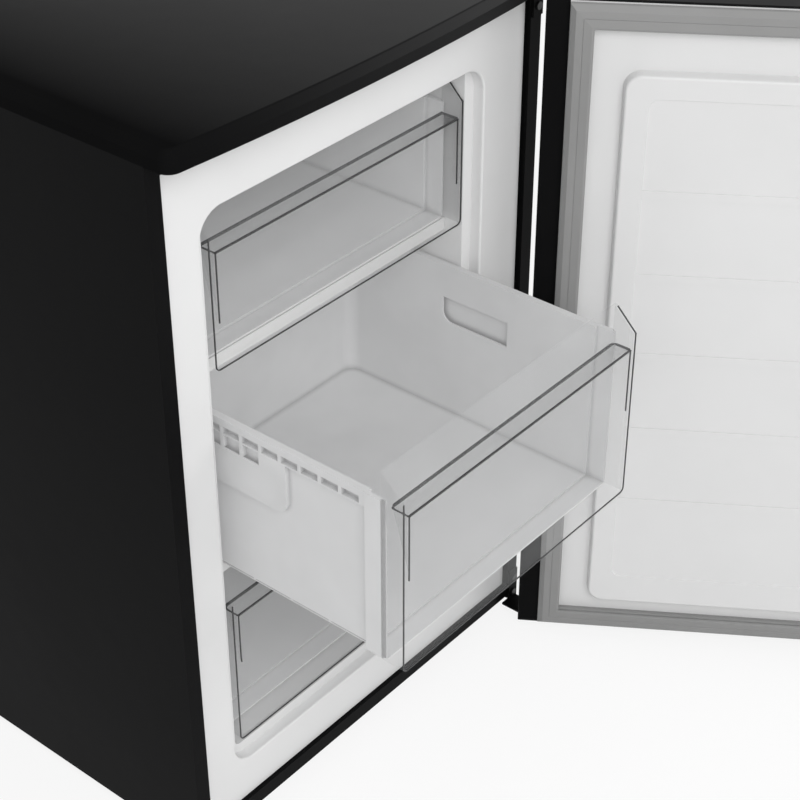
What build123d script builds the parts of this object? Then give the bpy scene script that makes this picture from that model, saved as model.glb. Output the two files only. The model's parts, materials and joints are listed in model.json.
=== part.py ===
from build123d import *
from math import atan2, cos, floor, radians, sin, tan
import os

# Under-counter upright freezer with three drawers. Millimetres.
# Origin on the floor under the middle of the cabinet body; x to the right, y to the back, z up.
# It is modelled as photographed: the door swung open and the middle drawer pulled out.

# Overall size
cabinet_width = 550.0
cabinet_height = 840.0
cabinet_depth = 500.0
side_foot_gap = 12.6
worktop_thickness = 21.6

# Fits
fit = 0.2
seat_gap = 0.3
running_clearance = 0.05

# Steel shell
shell_sheet = 0.8
strip_width = 17.5
strip_fold = 10.0
top_strip_height = 14.4
base_sheet = 1.0
base_rise = 4.1
base_lip_height = 17.8
bay_floor_depth = 190.0
bay_slope_run = 40.0
bay_height = 212.0

# Inner liner
liner_wall = 2.5
flange_setback = 5.0
flange_gap_side = 4.0
flange_gap_bottom = 1.0
flange_gap_top = 1.0
flange_lip_depth = 8.0
left_wall = 75.6
right_wall = 100.4
ceiling_drop = 95.4
cavity_floor_z = 98.0
cavity_depth = 411.6
cavity_corner = 8.0
cavity_back_fillet = 6.0
ledge_left = 13.1
ledge_right = 14.6
ledge_bottom = 12.7
recess_depth = 13.4
recess_corner = 28.0
recess_edge_round = 2.2
step_height = 184.0
step_depth = 175.0

# Worktop
worktop_overhang = 41.1
worktop_bow = 11.9
worktop_corner = 13.0
worktop_rear_overhang = 28.0
worktop_edge_drop = 10.0
worktop_edge_slope = 4.4
worktop_edge_round = 2.5
worktop_skin = 3.0
worktop_rim = 4.0
worktop_rib = 2.5
worktop_rib_count = 3
angle_from_side = 95.0
angle_width = 30.0
angle_leg = 30.0
angle_arm = 20.0
angle_sheet = 1.5
angle_screw_inset = 9.0

# Door
door_rest_angle = 123.6
hinge_from_edge = 14.8
door_gap = 0.3
door_front_n = 17.5
door_inner_n = 22.0
gasket_height = 12.2
door_top_gap = 6.4
door_bottom_z = 12.7
door_edge_radius = 8.0
door_fold_radius = 1.5
door_sheet = 0.8
door_band = 23.6
cap_plate = 2.5
cap_wall = 2.0
cap_wall_depth = 12.5
gasket_width = 25.0
gasket_from_edge = 3.5
gasket_wall = 2.0
gasket_lip_round = 1.5
magnet_width = 10.0
magnet_thickness = 3.0
door_liner_wall = 1.5
panel_side_margin = 82.3
panel_low_z = 62.0
panel_top_margin = 75.0
panel_corner = 19.0
panel_rise = 11.0
panel_taper = 12.0
panel_edge_round = 3.0
panel_skin = 2.5
panel_recess = 1.2
panel_recess_side = 24.0
panel_recess_low = 38.0
panel_recess_corner = 12.0
panel_recess_taper = 30.0
ridge_height = 9.7
ridge_low_margin = 110.5
ridge_top_margin = 107.3
ridge_count = 5
ridge_rise = 0.9
grip_width = 130.0
grip_height = 34.0
grip_from_free_edge = 150.0
grip_from_top = 40.0
grip_depth = 26.0
grip_wall = 2.0
grip_flange = 6.0
grip_flange_thickness = 1.5
grip_lip = 9.0
boss_wall = 2.5

# Hinges
hinge_plate = 2.5
top_plate_clearance = 2.4
hinge_plate_width = 24.0
hinge_pin_radius = 4.0
hinge_pin_reach = 15.0
hinge_pin_head_radius = 6.5
hinge_pin_head = 1.2
hinge_flange_height = 44.0
bush_wall = 3.0
bush_length = 14.0
bush_flange_radius = 9.5
bottom_bush_flange = 1.2
top_bush_flange = 1.0
hinge_screw_pitch = 22.0
hinge_flange_edge = 1.0
hinge_pin_chamfer = 1.0
backing_plate_thickness = 2.0

# Screws
screw_radius = 2.2
screw_length = 11.0
hinge_screw_length = 9.0
screw_head_radius = 4.2
screw_head_height = 1.8
screw_hole_clearance = 0.1

# Drawers
drawer_side_gap_left = 9.1
drawer_side_gap_right = 1.2
front_wall = 2.0
front_slant_run = 26.6
front_slant_rise = 26.0
front_corner = 3.0
front_low_corner = 6.0
pull_inset = 8.9
pull_depth = 20.0
pull_below_bend = 17.5
pull_height = 72.0
pull_corner = 5.0
bin_wall = 2.0
bin_inset = 6.2
bin_corner = 17.0
bin_floor_round = 2.5
bin_floor_lift = 4.0
bin_collar_depth = 19.0
bin_collar_drop = 3.0
bin_rim_out = 5.5
bin_rim_drop = 6.5
bin_rim_thickness = 2.0
bin_front_gap = 0.3
bin_rear_gap = 38.0
rim_skirt = 8.0
rim_skirt_wall = 1.5
slot_height = 8.0
slot_pitch = 24.5
slot_rib = 4.0
slot_ledge = 1.5
slot_front_margin = 25.8
slot_rear_margin = 20.0
hold_length = 121.0
hold_shift = 2.0
hold_shoulder = 25.0
hold_top_drop = 32.0
hold_height = 43.0
hold_corner = 13.0
hold_wall = 1.2
window_length = 86.0
window_shift = 7.0
window_height = 30.0
window_low = 6.0
window_corner = 12.0
bin_slit_height = 1.2
bin_slit_depth = 0.8
bin_slit_pitch = 49.0
bin_slit_bridge = 3.0
bin_slit_above = 3.0
drawer_travel_rest = 222.2

top_tier_share = 0.7258
middle_tier_share = 0.3526
middle_bend_drop = 44.8
bottom_front_lift = 2.0
bottom_bend_drop = 41.0
top_front_headroom = 11.9
bottom_bin_lift = 8.0
bottom_bin_step_gap = 10.0
bottom_bin_runner_lift = 0.5

# Evaporator shelves
tube_radius = 4.0
wire_radius = 0.7
shelf_gap = 0.5
shelf_runs = 7
shelf_first_run = 58.0
shelf_last_run = 34.6
shelf_left_margin = 34.0
shelf_right_margin = 10.6
shelf_feed_margin = 10.5
shelf_bend_straight = 1.0
shelf_end_gap = 1.0
shelf_wires = 11
wire_pitch = 26.0
wire_overhang = 8.0
clip_width = 16.0
clip_reach = 6.0
clip_wall = 2.0
weld_gap = 0.05
trim_setback = 22.6
trim_depth = 3.0
trim_height = 14.0

# Feet
foot_pad_radius = 18.0
foot_pad_height = 8.0
foot_pad_round = 1.5
foot_hex_radius = 8.0
foot_hex_height = 5.0
foot_stem_radius = 5.0
foot_stem_top_z = 38.0
foot_side_inset = 42.0
foot_front_inset = 32.0
insert_wall = 4.0
insert_flange_radius = 13.0
insert_flange = 1.5
insert_top_z = 42.0
rear_foot_radius = 17.0
rear_foot_inset = 44.0
rear_foot_back_inset = 30.0

# Compressor bay
rail_sheet = 2.0
rail_depth = 150.0
rail_back_gap = 6.0
rail_lip = 22.0
compressor_from_side = 205.0
compressor_length = 190.0
compressor_width = 140.0
compressor_shell_height = 132.0
compressor_y_from_back = 82.0
compressor_band = 3.0
compressor_band_height = 6.0
compressor_plate = 3.0
compressor_dome_round = 40.0
compressor_foot_round = 14.0
compressor_corner = 60.0
compressor_band_z = 62.0
mount_pitch_x = 200.0
mount_pitch_y = 100.0
grommet_radius = 12.0
grommet_waist = 8.0
grommet_disc = 8.0
grommet_cap = 4.0
bolt_radius = 4.0
bolt_head_radius = 7.0
bolt_head_height = 4.0
bolt_tip = 3.0
stub_radius = 4.5
stub_length = 16.0
stub_shift = 8.0
suction_height = 92.0
discharge_height = 36.0
suction_reach = 80.0
pipe_bend = 20.0
relay_width = 54.0
relay_height = 62.0
relay_depth = 34.0
relay_lift = 40.0
relay_round = 6.0
pipe_radius = 3.2
dryer_radius = 9.5
dryer_length = 96.0
dryer_neck_radius = 3.6
dryer_cone = 10.0
dryer_top_z = 166.0
dryer_bend_z = 200.0
dryer_bend_drop = 18.0
dryer_from_back = 14.0
capillary_drop = 24.0
capillary_bend = 15.0
discharge_turn_margin = 79.0
discharge_top_z = 150.0
riser_foot_z = 205.0
capillary_radius = 1.2
bay_roof_gap = 0.6

# Condenser
condenser_tube_radius = 2.5
condenser_plane_gap = 14.0
condenser_runs = 11
condenser_above_bay = 106.0
condenser_top_margin = 80.4
condenser_side_margin = 49.0
condenser_riser_margin = 35.0
condenser_wire_radius = 0.75
condenser_wire_pitch = 22.0
condenser_wire_overhang = 12.0
condenser_bend_straight = 6.0
bracket_width = 16.0
bracket_jaw = 4.0
bracket_ear = 14.0
bracket_ear_thickness = 2.5

# Thermostat
thermostat_width = 84.0
thermostat_height = 40.0
thermostat_depth = 17.6
thermostat_from_side = 125.0
thermostat_above_bay = 12.0
thermostat_wall = 2.0
thermostat_ear = 2.0
thermostat_ear_width = 12.0
thermostat_screw_pitch = 96.0
knob_radius = 15.0
knob_height = 9.0
knob_stem_radius = 3.0
knob_grip = 5.0
knob_round = 1.0
knob_stem_length = 10.0
thermostat_round = 5.0

# Cord gland
gland_from_side = 215.0
gland_radius = 7.0
gland_bore = 3.6
gland_flange_radius = 10.0
gland_flange = 3.0

# Places worked out from the sizes above
half_width = cabinet_width / 2
front_y = -cabinet_depth / 2
back_y = cabinet_depth / 2
under_top_z = cabinet_height - worktop_thickness
mouth_half = half_width - strip_width
mouth_top_z = under_top_z - top_strip_height
base_z = side_foot_gap + base_rise
lip_top_z = base_z + base_lip_height
bay_foot_y = back_y - bay_floor_depth
bay_head_y = bay_foot_y + bay_slope_run
panel_front_y = back_y - shell_sheet

flange_y = front_y + flange_setback
ledge_y = flange_y + recess_depth
flange_half = mouth_half - flange_gap_side
flange_low_z = lip_top_z + flange_gap_bottom
flange_top_z = mouth_top_z - flange_gap_top
cavity_left = -half_width + left_wall
cavity_right = half_width - right_wall
cavity_mid_x = (cavity_left + cavity_right) / 2
cavity_top_z = cabinet_height - ceiling_drop
cavity_back_y = ledge_y + cavity_depth
cavity_height = cavity_top_z - cavity_floor_z
top_front_low_z = cavity_floor_z + cavity_height * top_tier_share
middle_front_low_z = cavity_floor_z + cavity_height * middle_tier_share
step_y = cavity_back_y - step_depth
step_z = cavity_floor_z + step_height

axis_x = half_width - hinge_from_edge
gasket_n = door_inner_n + gasket_height
axis_y = front_y - door_gap - gasket_n
door_top_z = under_top_z - door_top_gap
door_free_u = cabinet_width - hinge_from_edge
door_mid_u = (door_free_u - hinge_from_edge) / 2
skin_low_z = door_bottom_z + cap_plate
skin_top_z = door_top_z - cap_plate
free_x = -cos(radians(door_rest_angle))
free_y = -sin(radians(door_rest_angle))
inward_x = -sin(radians(door_rest_angle))
inward_y = cos(radians(door_rest_angle))

foot_x = half_width - foot_side_inset
foot_y = front_y + foot_front_inset
insert_radius = foot_stem_radius + insert_wall
rear_foot_x = half_width - rear_foot_inset
rear_foot_y = back_y - rear_foot_back_inset
rail_top_z = side_foot_gap + rail_sheet
rail_back_y = back_y - rail_back_gap
rail_front_y = rail_back_y - rail_depth
compressor_x = -half_width + compressor_from_side
compressor_y = back_y - compressor_y_from_back
discharge_turn_x = half_width - discharge_turn_margin
thermostat_x = half_width - thermostat_from_side
gland_x = half_width - gland_from_side
condenser_y = back_y + condenser_plane_gap
condenser_half_width = half_width - condenser_side_margin
condenser_inlet_x = half_width - condenser_riser_margin
condenser_low_z = bay_height + condenser_above_bay
condenser_top_z = under_top_z - condenser_top_margin
condenser_run_pitch = (condenser_top_z - condenser_low_z) / (condenser_runs - 1)
condenser_bend = (condenser_run_pitch - condenser_bend_straight) / 2
dryer_y = back_y - dryer_from_back

os.makedirs("parts", exist_ok=True)


def finish(piece, name):
    """Labels a finished piece and writes it under its own name."""
    piece.part.label = name
    export_step(piece.part, f"parts/{name}.step")


def facing(y):
    """The upright plane at one depth: sketch x is x and sketch y is z."""
    return Plane.XZ.offset(-y)


def block(x, y, z, mode=Mode.ADD):
    """A box between two limits along each axis, in the piece being built."""
    with Locations(((x[0] + x[1]) / 2, (y[0] + y[1]) / 2, (z[0] + z[1]) / 2)):
        Box(x[1] - x[0], y[1] - y[0], z[1] - z[0], mode=mode)


def post(x, y, z, radius, mode=Mode.ADD):
    """An upright cylinder between two heights, in the piece being built."""
    with Locations((x, y, (z[0] + z[1]) / 2)):
        Cylinder(radius, z[1] - z[0], mode=mode)


def peg(plane, radius, length, mode=Mode.ADD):
    """A cylinder that stands on a plane, or sinks below it when the length is negative."""
    with BuildSketch(plane) as section:
        Circle(radius)
    extrude(section.sketch, amount=length, mode=mode)


def pan_screw(seat, length):
    """A pan-head screw: the seat's normal points from the hole to the head."""
    peg(seat, screw_head_radius, screw_head_height)
    peg(seat, screw_radius, -length)


def pipe(points, radii, radius):
    """A tube along straight runs joined by tangent arcs."""
    with BuildPart() as run:
        with BuildLine() as route:
            FilletPolyline(*points, radius=radii)
        with BuildSketch(Plane(origin=route.line @ 0, z_dir=route.line % 0)):
            Circle(radius)
        sweep()
    return run


def drill(seats, radius, depth):
    """Holes that run in from each seat, through the piece being built."""
    for seat in seats:
        peg(seat, radius, -depth, Mode.SUBTRACT)


# Screw seats shared by the pieces that a screw goes through; each seat's normal points at the head
screw_hole = screw_radius + screw_hole_clearance
hinge_screw_x = half_width - strip_width / 2
top_plate_low_z = door_top_z + top_plate_clearance
top_flange_low_z = top_plate_low_z + hinge_plate - hinge_flange_height
bottom_plate_top_z = door_bottom_z - bottom_bush_flange - door_gap
bottom_flange_low_z = bottom_plate_top_z - hinge_plate
hinge_flange_y = front_y - hinge_plate


def hinge_seats(flange_low_z):
    """Two screw seats, one above the other, on the front of a hinge flange."""
    middle = flange_low_z + hinge_flange_height / 2
    heights = (middle - hinge_screw_pitch / 2, middle + hinge_screw_pitch / 2)
    return [Plane(origin=(hinge_screw_x, hinge_flange_y, z), z_dir=(0, -1, 0)) for z in heights]


top_hinge_seats = hinge_seats(top_flange_low_z)
bottom_hinge_seats = hinge_seats(bottom_flange_low_z)
all_hinge_seats = top_hinge_seats + bottom_hinge_seats

angle_x = half_width - angle_from_side
angle_xs = (-angle_x, angle_x)
angle_top_seats = [
    Plane(origin=(x, back_y + angle_arm - angle_screw_inset, under_top_z - angle_sheet), z_dir=(0, 0, -1))
    for x in angle_xs
]
angle_back_seats = [
    Plane(origin=(x, back_y + angle_sheet, under_top_z - angle_leg + angle_screw_inset), z_dir=(0, 1, 0))
    for x in angle_xs
]

wire_count = floor((2 * condenser_half_width - 2 * condenser_wire_overhang) / condenser_wire_pitch)
first_wire_x = -(wire_count - 1) * condenser_wire_pitch / 2
bracket_x = -first_wire_x - condenser_wire_pitch / 2
bracket_zs = (condenser_low_z + condenser_run_pitch, condenser_top_z - condenser_run_pitch)
bracket_seats = [
    Plane(origin=(x, back_y + bracket_ear_thickness, z - bracket_ear), z_dir=(0, 1, 0))
    for x in (-bracket_x, bracket_x)
    for z in bracket_zs
]
thermostat_z = bay_height + thermostat_above_bay + thermostat_height / 2
thermostat_seats = [
    Plane(origin=(thermostat_x + side * thermostat_screw_pitch / 2, back_y + thermostat_ear, thermostat_z),
          z_dir=(0, 1, 0))
    for side in (-1, 1)
]
rear_seats = bracket_seats + thermostat_seats

# Cabinet wrapper: sides and top in one folded sheet, with narrow strips folded in round the front
with BuildPart() as cabinet_wrapper:
    block((-half_width, half_width), (front_y, back_y), (side_foot_gap, under_top_z))
    block(
        (-half_width + shell_sheet, half_width - shell_sheet),
        (front_y + shell_sheet, back_y),
        (side_foot_gap, under_top_z - shell_sheet),
        Mode.SUBTRACT,
    )
    fold_y = (front_y, front_y + strip_fold)
    block(
        (-mouth_half - shell_sheet, mouth_half + shell_sheet),
        fold_y,
        (side_foot_gap, mouth_top_z + shell_sheet),
    )
    block((-mouth_half, mouth_half), fold_y, (side_foot_gap, mouth_top_z), Mode.SUBTRACT)
    drill(all_hinge_seats, screw_hole, hinge_screw_length)
finish(cabinet_wrapper, "cabinet_wrapper")


def under_base(grow):
    """The room below the base plate and in the compressor bay, grown by a margin."""
    with BuildPart() as room:
        with BuildSketch(Plane.YZ):
            with BuildLine():
                Polyline(
                    (front_y - base_lip_height, base_z),
                    (bay_foot_y, base_z),
                    (bay_head_y, bay_height),
                    (back_y + base_lip_height, bay_height),
                    (back_y + base_lip_height, 0),
                    (front_y - base_lip_height, 0),
                    close=True,
                )
            make_face()
            if grow > 0:
                offset(amount=grow, kind=Kind.INTERSECTION)
        extrude(amount=half_width, both=True)
    return room.part


# Base plate: folded up as the black lip at the front, stepped over the compressor bay at the back
base_half = half_width - shell_sheet - fit
lip_half = mouth_half - fit
with BuildPart() as base_plate:
    block((-base_half, base_half), (front_y, panel_front_y - fit), (base_z, bay_height + base_sheet))
    add(under_base(0), mode=Mode.SUBTRACT)
    with BuildSketch(Plane.YZ):
        with BuildLine():
            Polyline(
                (front_y + base_sheet, base_z + base_sheet),
                (bay_foot_y - base_sheet / 2, base_z + base_sheet),
                (bay_head_y - base_sheet, bay_height + base_sheet),
                (bay_head_y - base_sheet, bay_height + 2 * base_sheet),
                (front_y + base_sheet, bay_height + 2 * base_sheet),
                close=True,
            )
        make_face()
    extrude(amount=half_width, both=True, mode=Mode.SUBTRACT)
    above_lip = (lip_top_z, bay_height + base_sheet)
    block((-base_half, base_half), (front_y, front_y + base_sheet), above_lip, Mode.SUBTRACT)
    block((-base_half, base_half), (front_y, front_y + strip_fold), (lip_top_z - base_sheet, lip_top_z))
    for side in (-1, 1):
        corner = sorted((side * lip_half, side * half_width))
        block(corner, (front_y, front_y + strip_fold + fit), (base_z, lip_top_z), Mode.SUBTRACT)
        post(side * foot_x, foot_y, (base_z, base_z + base_sheet), insert_radius + fit, Mode.SUBTRACT)
finish(base_plate, "base_plate")

# Back panel, set inside the wrapper above the compressor bay
with BuildPart() as back_panel:
    block((-base_half, base_half), (panel_front_y, back_y), (bay_height, under_top_z - shell_sheet - fit))
    drill(angle_back_seats + rear_seats, screw_hole, screw_length)
finish(back_panel, "back_panel")


def recess_form(grow):
    """The shallow recess round the cavity's mouth, or its outer skin when grown by the wall."""
    low = cavity_floor_z - ledge_bottom
    left = cavity_left - ledge_left
    right = cavity_right + ledge_right
    with BuildPart() as form:
        with BuildSketch(facing(flange_y)):
            with Locations(((left + right) / 2, (low + cavity_top_z) / 2)):
                wide = right - left + 2 * grow
                high = cavity_top_z - low + 2 * grow
                RectangleRounded(wide, high, recess_corner + grow)
        extrude(amount=-recess_depth - grow)
    return form


def cavity_form(grow):
    """The cavity with its step over the compressor bay, or its outer skin when grown by the wall."""
    width = cavity_right - cavity_left + 2 * grow
    height = cavity_top_z - cavity_floor_z + 2 * grow
    with BuildPart() as form:
        with BuildSketch(facing(ledge_y)):
            with Locations((cavity_mid_x, (cavity_floor_z + cavity_top_z) / 2)):
                RectangleRounded(width, height, cavity_corner + grow)
        extrude(amount=-cavity_depth - grow)
        fillet(form.faces().sort_by(Axis.Y)[-1].edges(), cavity_back_fillet + grow)
        block(
            (cavity_left - 2 * liner_wall, cavity_right + 2 * liner_wall),
            (step_y + grow, cavity_back_y + 2 * liner_wall),
            (cavity_floor_z - 2 * liner_wall, step_z - grow),
            Mode.SUBTRACT,
        )
    return form


# Inner liner: the white front flange, the stepped recess and the cavity in one moulding
with BuildPart() as inner_liner:
    flange_z = (flange_low_z, flange_top_z)
    block((-flange_half, flange_half), (flange_y, flange_y + flange_lip_depth), flange_z)
    block(
        (-flange_half + liner_wall, flange_half - liner_wall),
        (flange_y + liner_wall, flange_y + flange_lip_depth),
        (flange_low_z + liner_wall, flange_top_z - liner_wall),
        Mode.SUBTRACT,
    )
    add(recess_form(liner_wall).part)
    add(cavity_form(liner_wall).part)
    add(recess_form(0).part, mode=Mode.SUBTRACT)
    add(cavity_form(0).part, mode=Mode.SUBTRACT)
    mouth = inner_liner.faces().filter_by(Axis.Y).sort_by(Axis.Y)[0]
    fillet(mouth.inner_wires()[0].edges(), recess_edge_round)
finish(inner_liner, "inner_liner")


# Foam between the shell and the liner
foam_y = flange_y + flange_lip_depth + fit
with BuildPart() as cabinet_insulation:
    block((-base_half, base_half), (foam_y, panel_front_y - fit), (base_z, under_top_z - shell_sheet - fit))
    block(
        (-flange_half + liner_wall + fit, flange_half - liner_wall - fit),
        (flange_y + liner_wall + fit, foam_y),
        (flange_low_z + liner_wall + fit, flange_top_z - liner_wall - fit),
    )
    add(recess_form(liner_wall + fit).part, mode=Mode.SUBTRACT)
    add(cavity_form(liner_wall + fit).part, mode=Mode.SUBTRACT)
    add(under_base(base_sheet + fit), mode=Mode.SUBTRACT)
    for side in (-1, 1):
        post(
            side * foot_x,
            foot_y,
            (base_z, insert_top_z + fit),
            insert_radius + fit,
            Mode.SUBTRACT,
        )
    drill(angle_back_seats + rear_seats, screw_hole, screw_length + fit)
finish(cabinet_insulation, "cabinet_insulation")


# Worktop: a moulded board, hollow and ribbed underneath between its rims
with BuildPart() as worktop:
    crown_y = front_y - worktop_overhang
    corner_y = crown_y + worktop_bow
    rear_y = back_y + worktop_rear_overhang
    with BuildSketch(Plane.XY.offset(under_top_z)) as outline:
        with BuildLine():
            ThreePointArc((-half_width, corner_y), (0, crown_y), (half_width, corner_y))
            Polyline(
                (half_width, corner_y),
                (half_width, rear_y),
                (-half_width, rear_y),
                (-half_width, corner_y),
            )
        make_face()
        fillet(outline.vertices().sort_by(Axis.Y)[:2], worktop_corner)
    extrude(amount=worktop_thickness)
    board_top = worktop.faces().sort_by(Axis.Z)[-1]
    shaped = board_top.edges().sort_by(Axis.Y)[:-1]
    chamfer(shaped, length=worktop_edge_slope, length2=worktop_edge_drop, reference=board_top)
    fillet(worktop.faces().sort_by(Axis.Z)[-1].edges().sort_by(Axis.Y)[:-1], worktop_edge_round)
    hollow_half = half_width - worktop_rim
    hollow_y = (front_y + worktop_rim, back_y - worktop_rim)
    hollow_z = (under_top_z, cabinet_height - worktop_skin)
    block((-hollow_half, hollow_half), hollow_y, hollow_z, Mode.SUBTRACT)
    for number in range(worktop_rib_count):
        rib_x = -half_width + cabinet_width * (number + 1) / (worktop_rib_count + 1)
        block((rib_x - worktop_rib / 2, rib_x + worktop_rib / 2), hollow_y, hollow_z)
    drill(angle_top_seats, screw_hole, screw_length)
finish(worktop, "worktop")

# Angles that hold the worktop's rear overhang to the back panel
with BuildPart() as worktop_angles:
    for x in angle_xs:
        across = (x - angle_width / 2, x + angle_width / 2)
        block(across, (back_y, back_y + angle_sheet), (under_top_z - angle_leg, under_top_z))
        block(across, (back_y, back_y + angle_arm), (under_top_z - angle_sheet, under_top_z))
    drill(angle_top_seats + angle_back_seats, screw_hole, 2 * angle_sheet)
finish(worktop_angles, "worktop_angles")

with BuildPart() as worktop_screws:
    for seat in angle_top_seats + angle_back_seats:
        pan_screw(seat, screw_length - fit)
finish(worktop_screws, "worktop_screws")


def make_hinge_bracket(plate_low_z, flange_low_z, seats):
    """A flange screwed to the side strip, with a plate that reaches out to the door's axis."""
    flange_x = (mouth_half + hinge_flange_edge, half_width - hinge_flange_edge)
    with BuildPart() as bracket:
        with BuildSketch(Plane.XY.offset(plate_low_z)):
            with Locations((axis_x, (axis_y + front_y) / 2)):
                Rectangle(hinge_plate_width, front_y - axis_y)
            with Locations((axis_x, axis_y)):
                Circle(hinge_plate_width / 2)
                Circle(hinge_pin_radius + fit / 2, mode=Mode.SUBTRACT)
        extrude(amount=hinge_plate)
        block(flange_x, (hinge_flange_y, front_y), (flange_low_z, flange_low_z + hinge_flange_height))
        drill(seats, screw_hole, hinge_plate)
    return bracket


top_hinge_bracket = make_hinge_bracket(top_plate_low_z, top_flange_low_z, top_hinge_seats)
finish(top_hinge_bracket, "top_hinge_bracket")
bottom_hinge_bracket = make_hinge_bracket(bottom_flange_low_z, bottom_flange_low_z, bottom_hinge_seats)
finish(bottom_hinge_bracket, "bottom_hinge_bracket")

# Hinge pins, each riveted into its plate with a flat head outside
with BuildPart() as top_hinge_pin:
    top_plate_z = top_plate_low_z + hinge_plate
    post(axis_x, axis_y, (top_plate_low_z - hinge_pin_reach, top_plate_z), hinge_pin_radius)
    post(axis_x, axis_y, (top_plate_z, top_plate_z + hinge_pin_head), hinge_pin_head_radius)
    chamfer(top_hinge_pin.faces().sort_by(Axis.Z)[0].edges(), hinge_pin_chamfer)
finish(top_hinge_pin, "top_hinge_pin")

with BuildPart() as bottom_hinge_pin:
    post(axis_x, axis_y, (bottom_flange_low_z, bottom_plate_top_z + hinge_pin_reach), hinge_pin_radius)
    post(axis_x, axis_y, (bottom_flange_low_z - hinge_pin_head, bottom_flange_low_z), hinge_pin_head_radius)
    chamfer(bottom_hinge_pin.faces().sort_by(Axis.Z)[-1].edges(), hinge_pin_chamfer)
finish(bottom_hinge_pin, "bottom_hinge_pin")

with BuildPart() as hinge_screws:
    for seat in all_hinge_seats:
        pan_screw(seat, hinge_screw_length - fit)
finish(hinge_screws, "hinge_screws")

# Steel plates behind the side strip, one for each hinge
with BuildPart() as hinge_backing_plates:
    for low_z in (top_flange_low_z, side_foot_gap):
        behind_strip = (front_y + shell_sheet, front_y + shell_sheet + backing_plate_thickness)
        high_z = min(low_z + hinge_flange_height, under_top_z - shell_sheet - fit)
        across = (mouth_half + shell_sheet + fit, half_width - shell_sheet - fit)
        block(across, behind_strip, (low_z, high_z))
    drill(all_hinge_seats, screw_hole, hinge_screw_length)
finish(hinge_backing_plates, "hinge_backing_plates")

# Front feet: a threaded insert in the base plate and a foot that screws into it
with BuildPart() as foot_inserts:
    for side in (-1, 1):
        post(side * foot_x, foot_y, (base_z - insert_flange, insert_top_z), insert_radius)
        post(side * foot_x, foot_y, (base_z - insert_flange, base_z), insert_flange_radius)
        post(
            side * foot_x,
            foot_y,
            (base_z - insert_flange, insert_top_z),
            foot_stem_radius + running_clearance,
            Mode.SUBTRACT,
        )
finish(foot_inserts, "foot_inserts")


def make_front_foot(x):
    """A round pad with hexagonal flats above it and a threaded stem."""
    with BuildPart() as foot:
        post(x, foot_y, (0, foot_pad_height), foot_pad_radius)
        fillet(foot.edges(), foot_pad_round)
        with BuildSketch(Plane.XY.offset(foot_pad_height)):
            with Locations((x, foot_y)):
                RegularPolygon(foot_hex_radius, 6)
        extrude(amount=foot_hex_height)
        post(x, foot_y, (foot_pad_height, foot_stem_top_z), foot_stem_radius)
    return foot


front_left_foot = make_front_foot(-foot_x)
finish(front_left_foot, "front_left_foot")
front_right_foot = make_front_foot(foot_x)
finish(front_right_foot, "front_right_foot")

# Rail across the compressor bay, with a lip folded up at the back and a tab at each end
with BuildPart() as compressor_rail:
    block((-base_half, base_half), (rail_front_y, rail_back_y), (side_foot_gap, rail_top_z))
    lip_z = (rail_top_z, rail_top_z + rail_lip)
    block((-base_half, base_half), (rail_back_y - rail_sheet, rail_back_y), lip_z)
    for side in (-1, 1):
        tab = sorted((side * base_half, side * (base_half - rail_sheet)))
        block(tab, (rail_front_y, rail_back_y), lip_z)
    with Locations(Location((compressor_x, compressor_y, side_foot_gap))):
        with GridLocations(mount_pitch_x, mount_pitch_y, 2, 2):
            Hole(bolt_radius + screw_hole_clearance)
    gland_plane = Plane(origin=(gland_x, rail_back_y, rail_top_z + rail_lip / 2), z_dir=(0, 1, 0))
    peg(gland_plane, gland_radius + fit / 2, -rail_sheet, Mode.SUBTRACT)
finish(compressor_rail, "compressor_rail")

with BuildPart() as rear_feet:
    for side in (-1, 1):
        post(side * rear_foot_x, rear_foot_y, (0, side_foot_gap), rear_foot_radius)
    fillet(rear_feet.edges().group_by(Axis.Z)[0], foot_pad_round)
finish(rear_feet, "rear_feet")

# Compressor: welded shell on its foot plate, with its pipe stubs
grommet_low_z = rail_top_z
plate_low_z = grommet_low_z + grommet_disc
plate_top_z = plate_low_z + compressor_plate
suction_z = plate_top_z + suction_height
discharge_z = plate_top_z + discharge_height
stub_end_x = compressor_x + compressor_length / 2 + stub_length
with BuildPart() as compressor:
    with BuildSketch(Plane.XY.offset(plate_top_z)):
        with Locations((compressor_x, compressor_y)):
            RectangleRounded(compressor_length, compressor_width, compressor_corner)
    extrude(amount=compressor_shell_height)
    fillet(compressor.faces().sort_by(Axis.Z)[-1].edges(), compressor_dome_round)
    fillet(compressor.faces().sort_by(Axis.Z)[0].edges(), compressor_foot_round)
    with BuildSketch(Plane.XY.offset(plate_top_z + compressor_band_z)):
        with Locations((compressor_x, compressor_y)):
            RectangleRounded(
                compressor_length + 2 * compressor_band,
                compressor_width + 2 * compressor_band,
                compressor_corner + compressor_band,
            )
    extrude(amount=compressor_band_height)
    with BuildSketch(Plane.XY.offset(plate_low_z)):
        with Locations((compressor_x, compressor_y)):
            RectangleRounded(
                mount_pitch_x + 2 * grommet_radius, mount_pitch_y + 2 * grommet_radius, grommet_radius
            )
            with GridLocations(mount_pitch_x, mount_pitch_y, 2, 2):
                Circle(grommet_waist + fit / 2, mode=Mode.SUBTRACT)
    extrude(amount=compressor_plate)
    for height, shift in ((suction_z, stub_shift), (discharge_z, -stub_shift)):
        stub_plane = Plane(origin=(stub_end_x, compressor_y + shift, height), z_dir=(1, 0, 0))
        peg(stub_plane, stub_radius, -2 * stub_length)
finish(compressor, "compressor")

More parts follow.
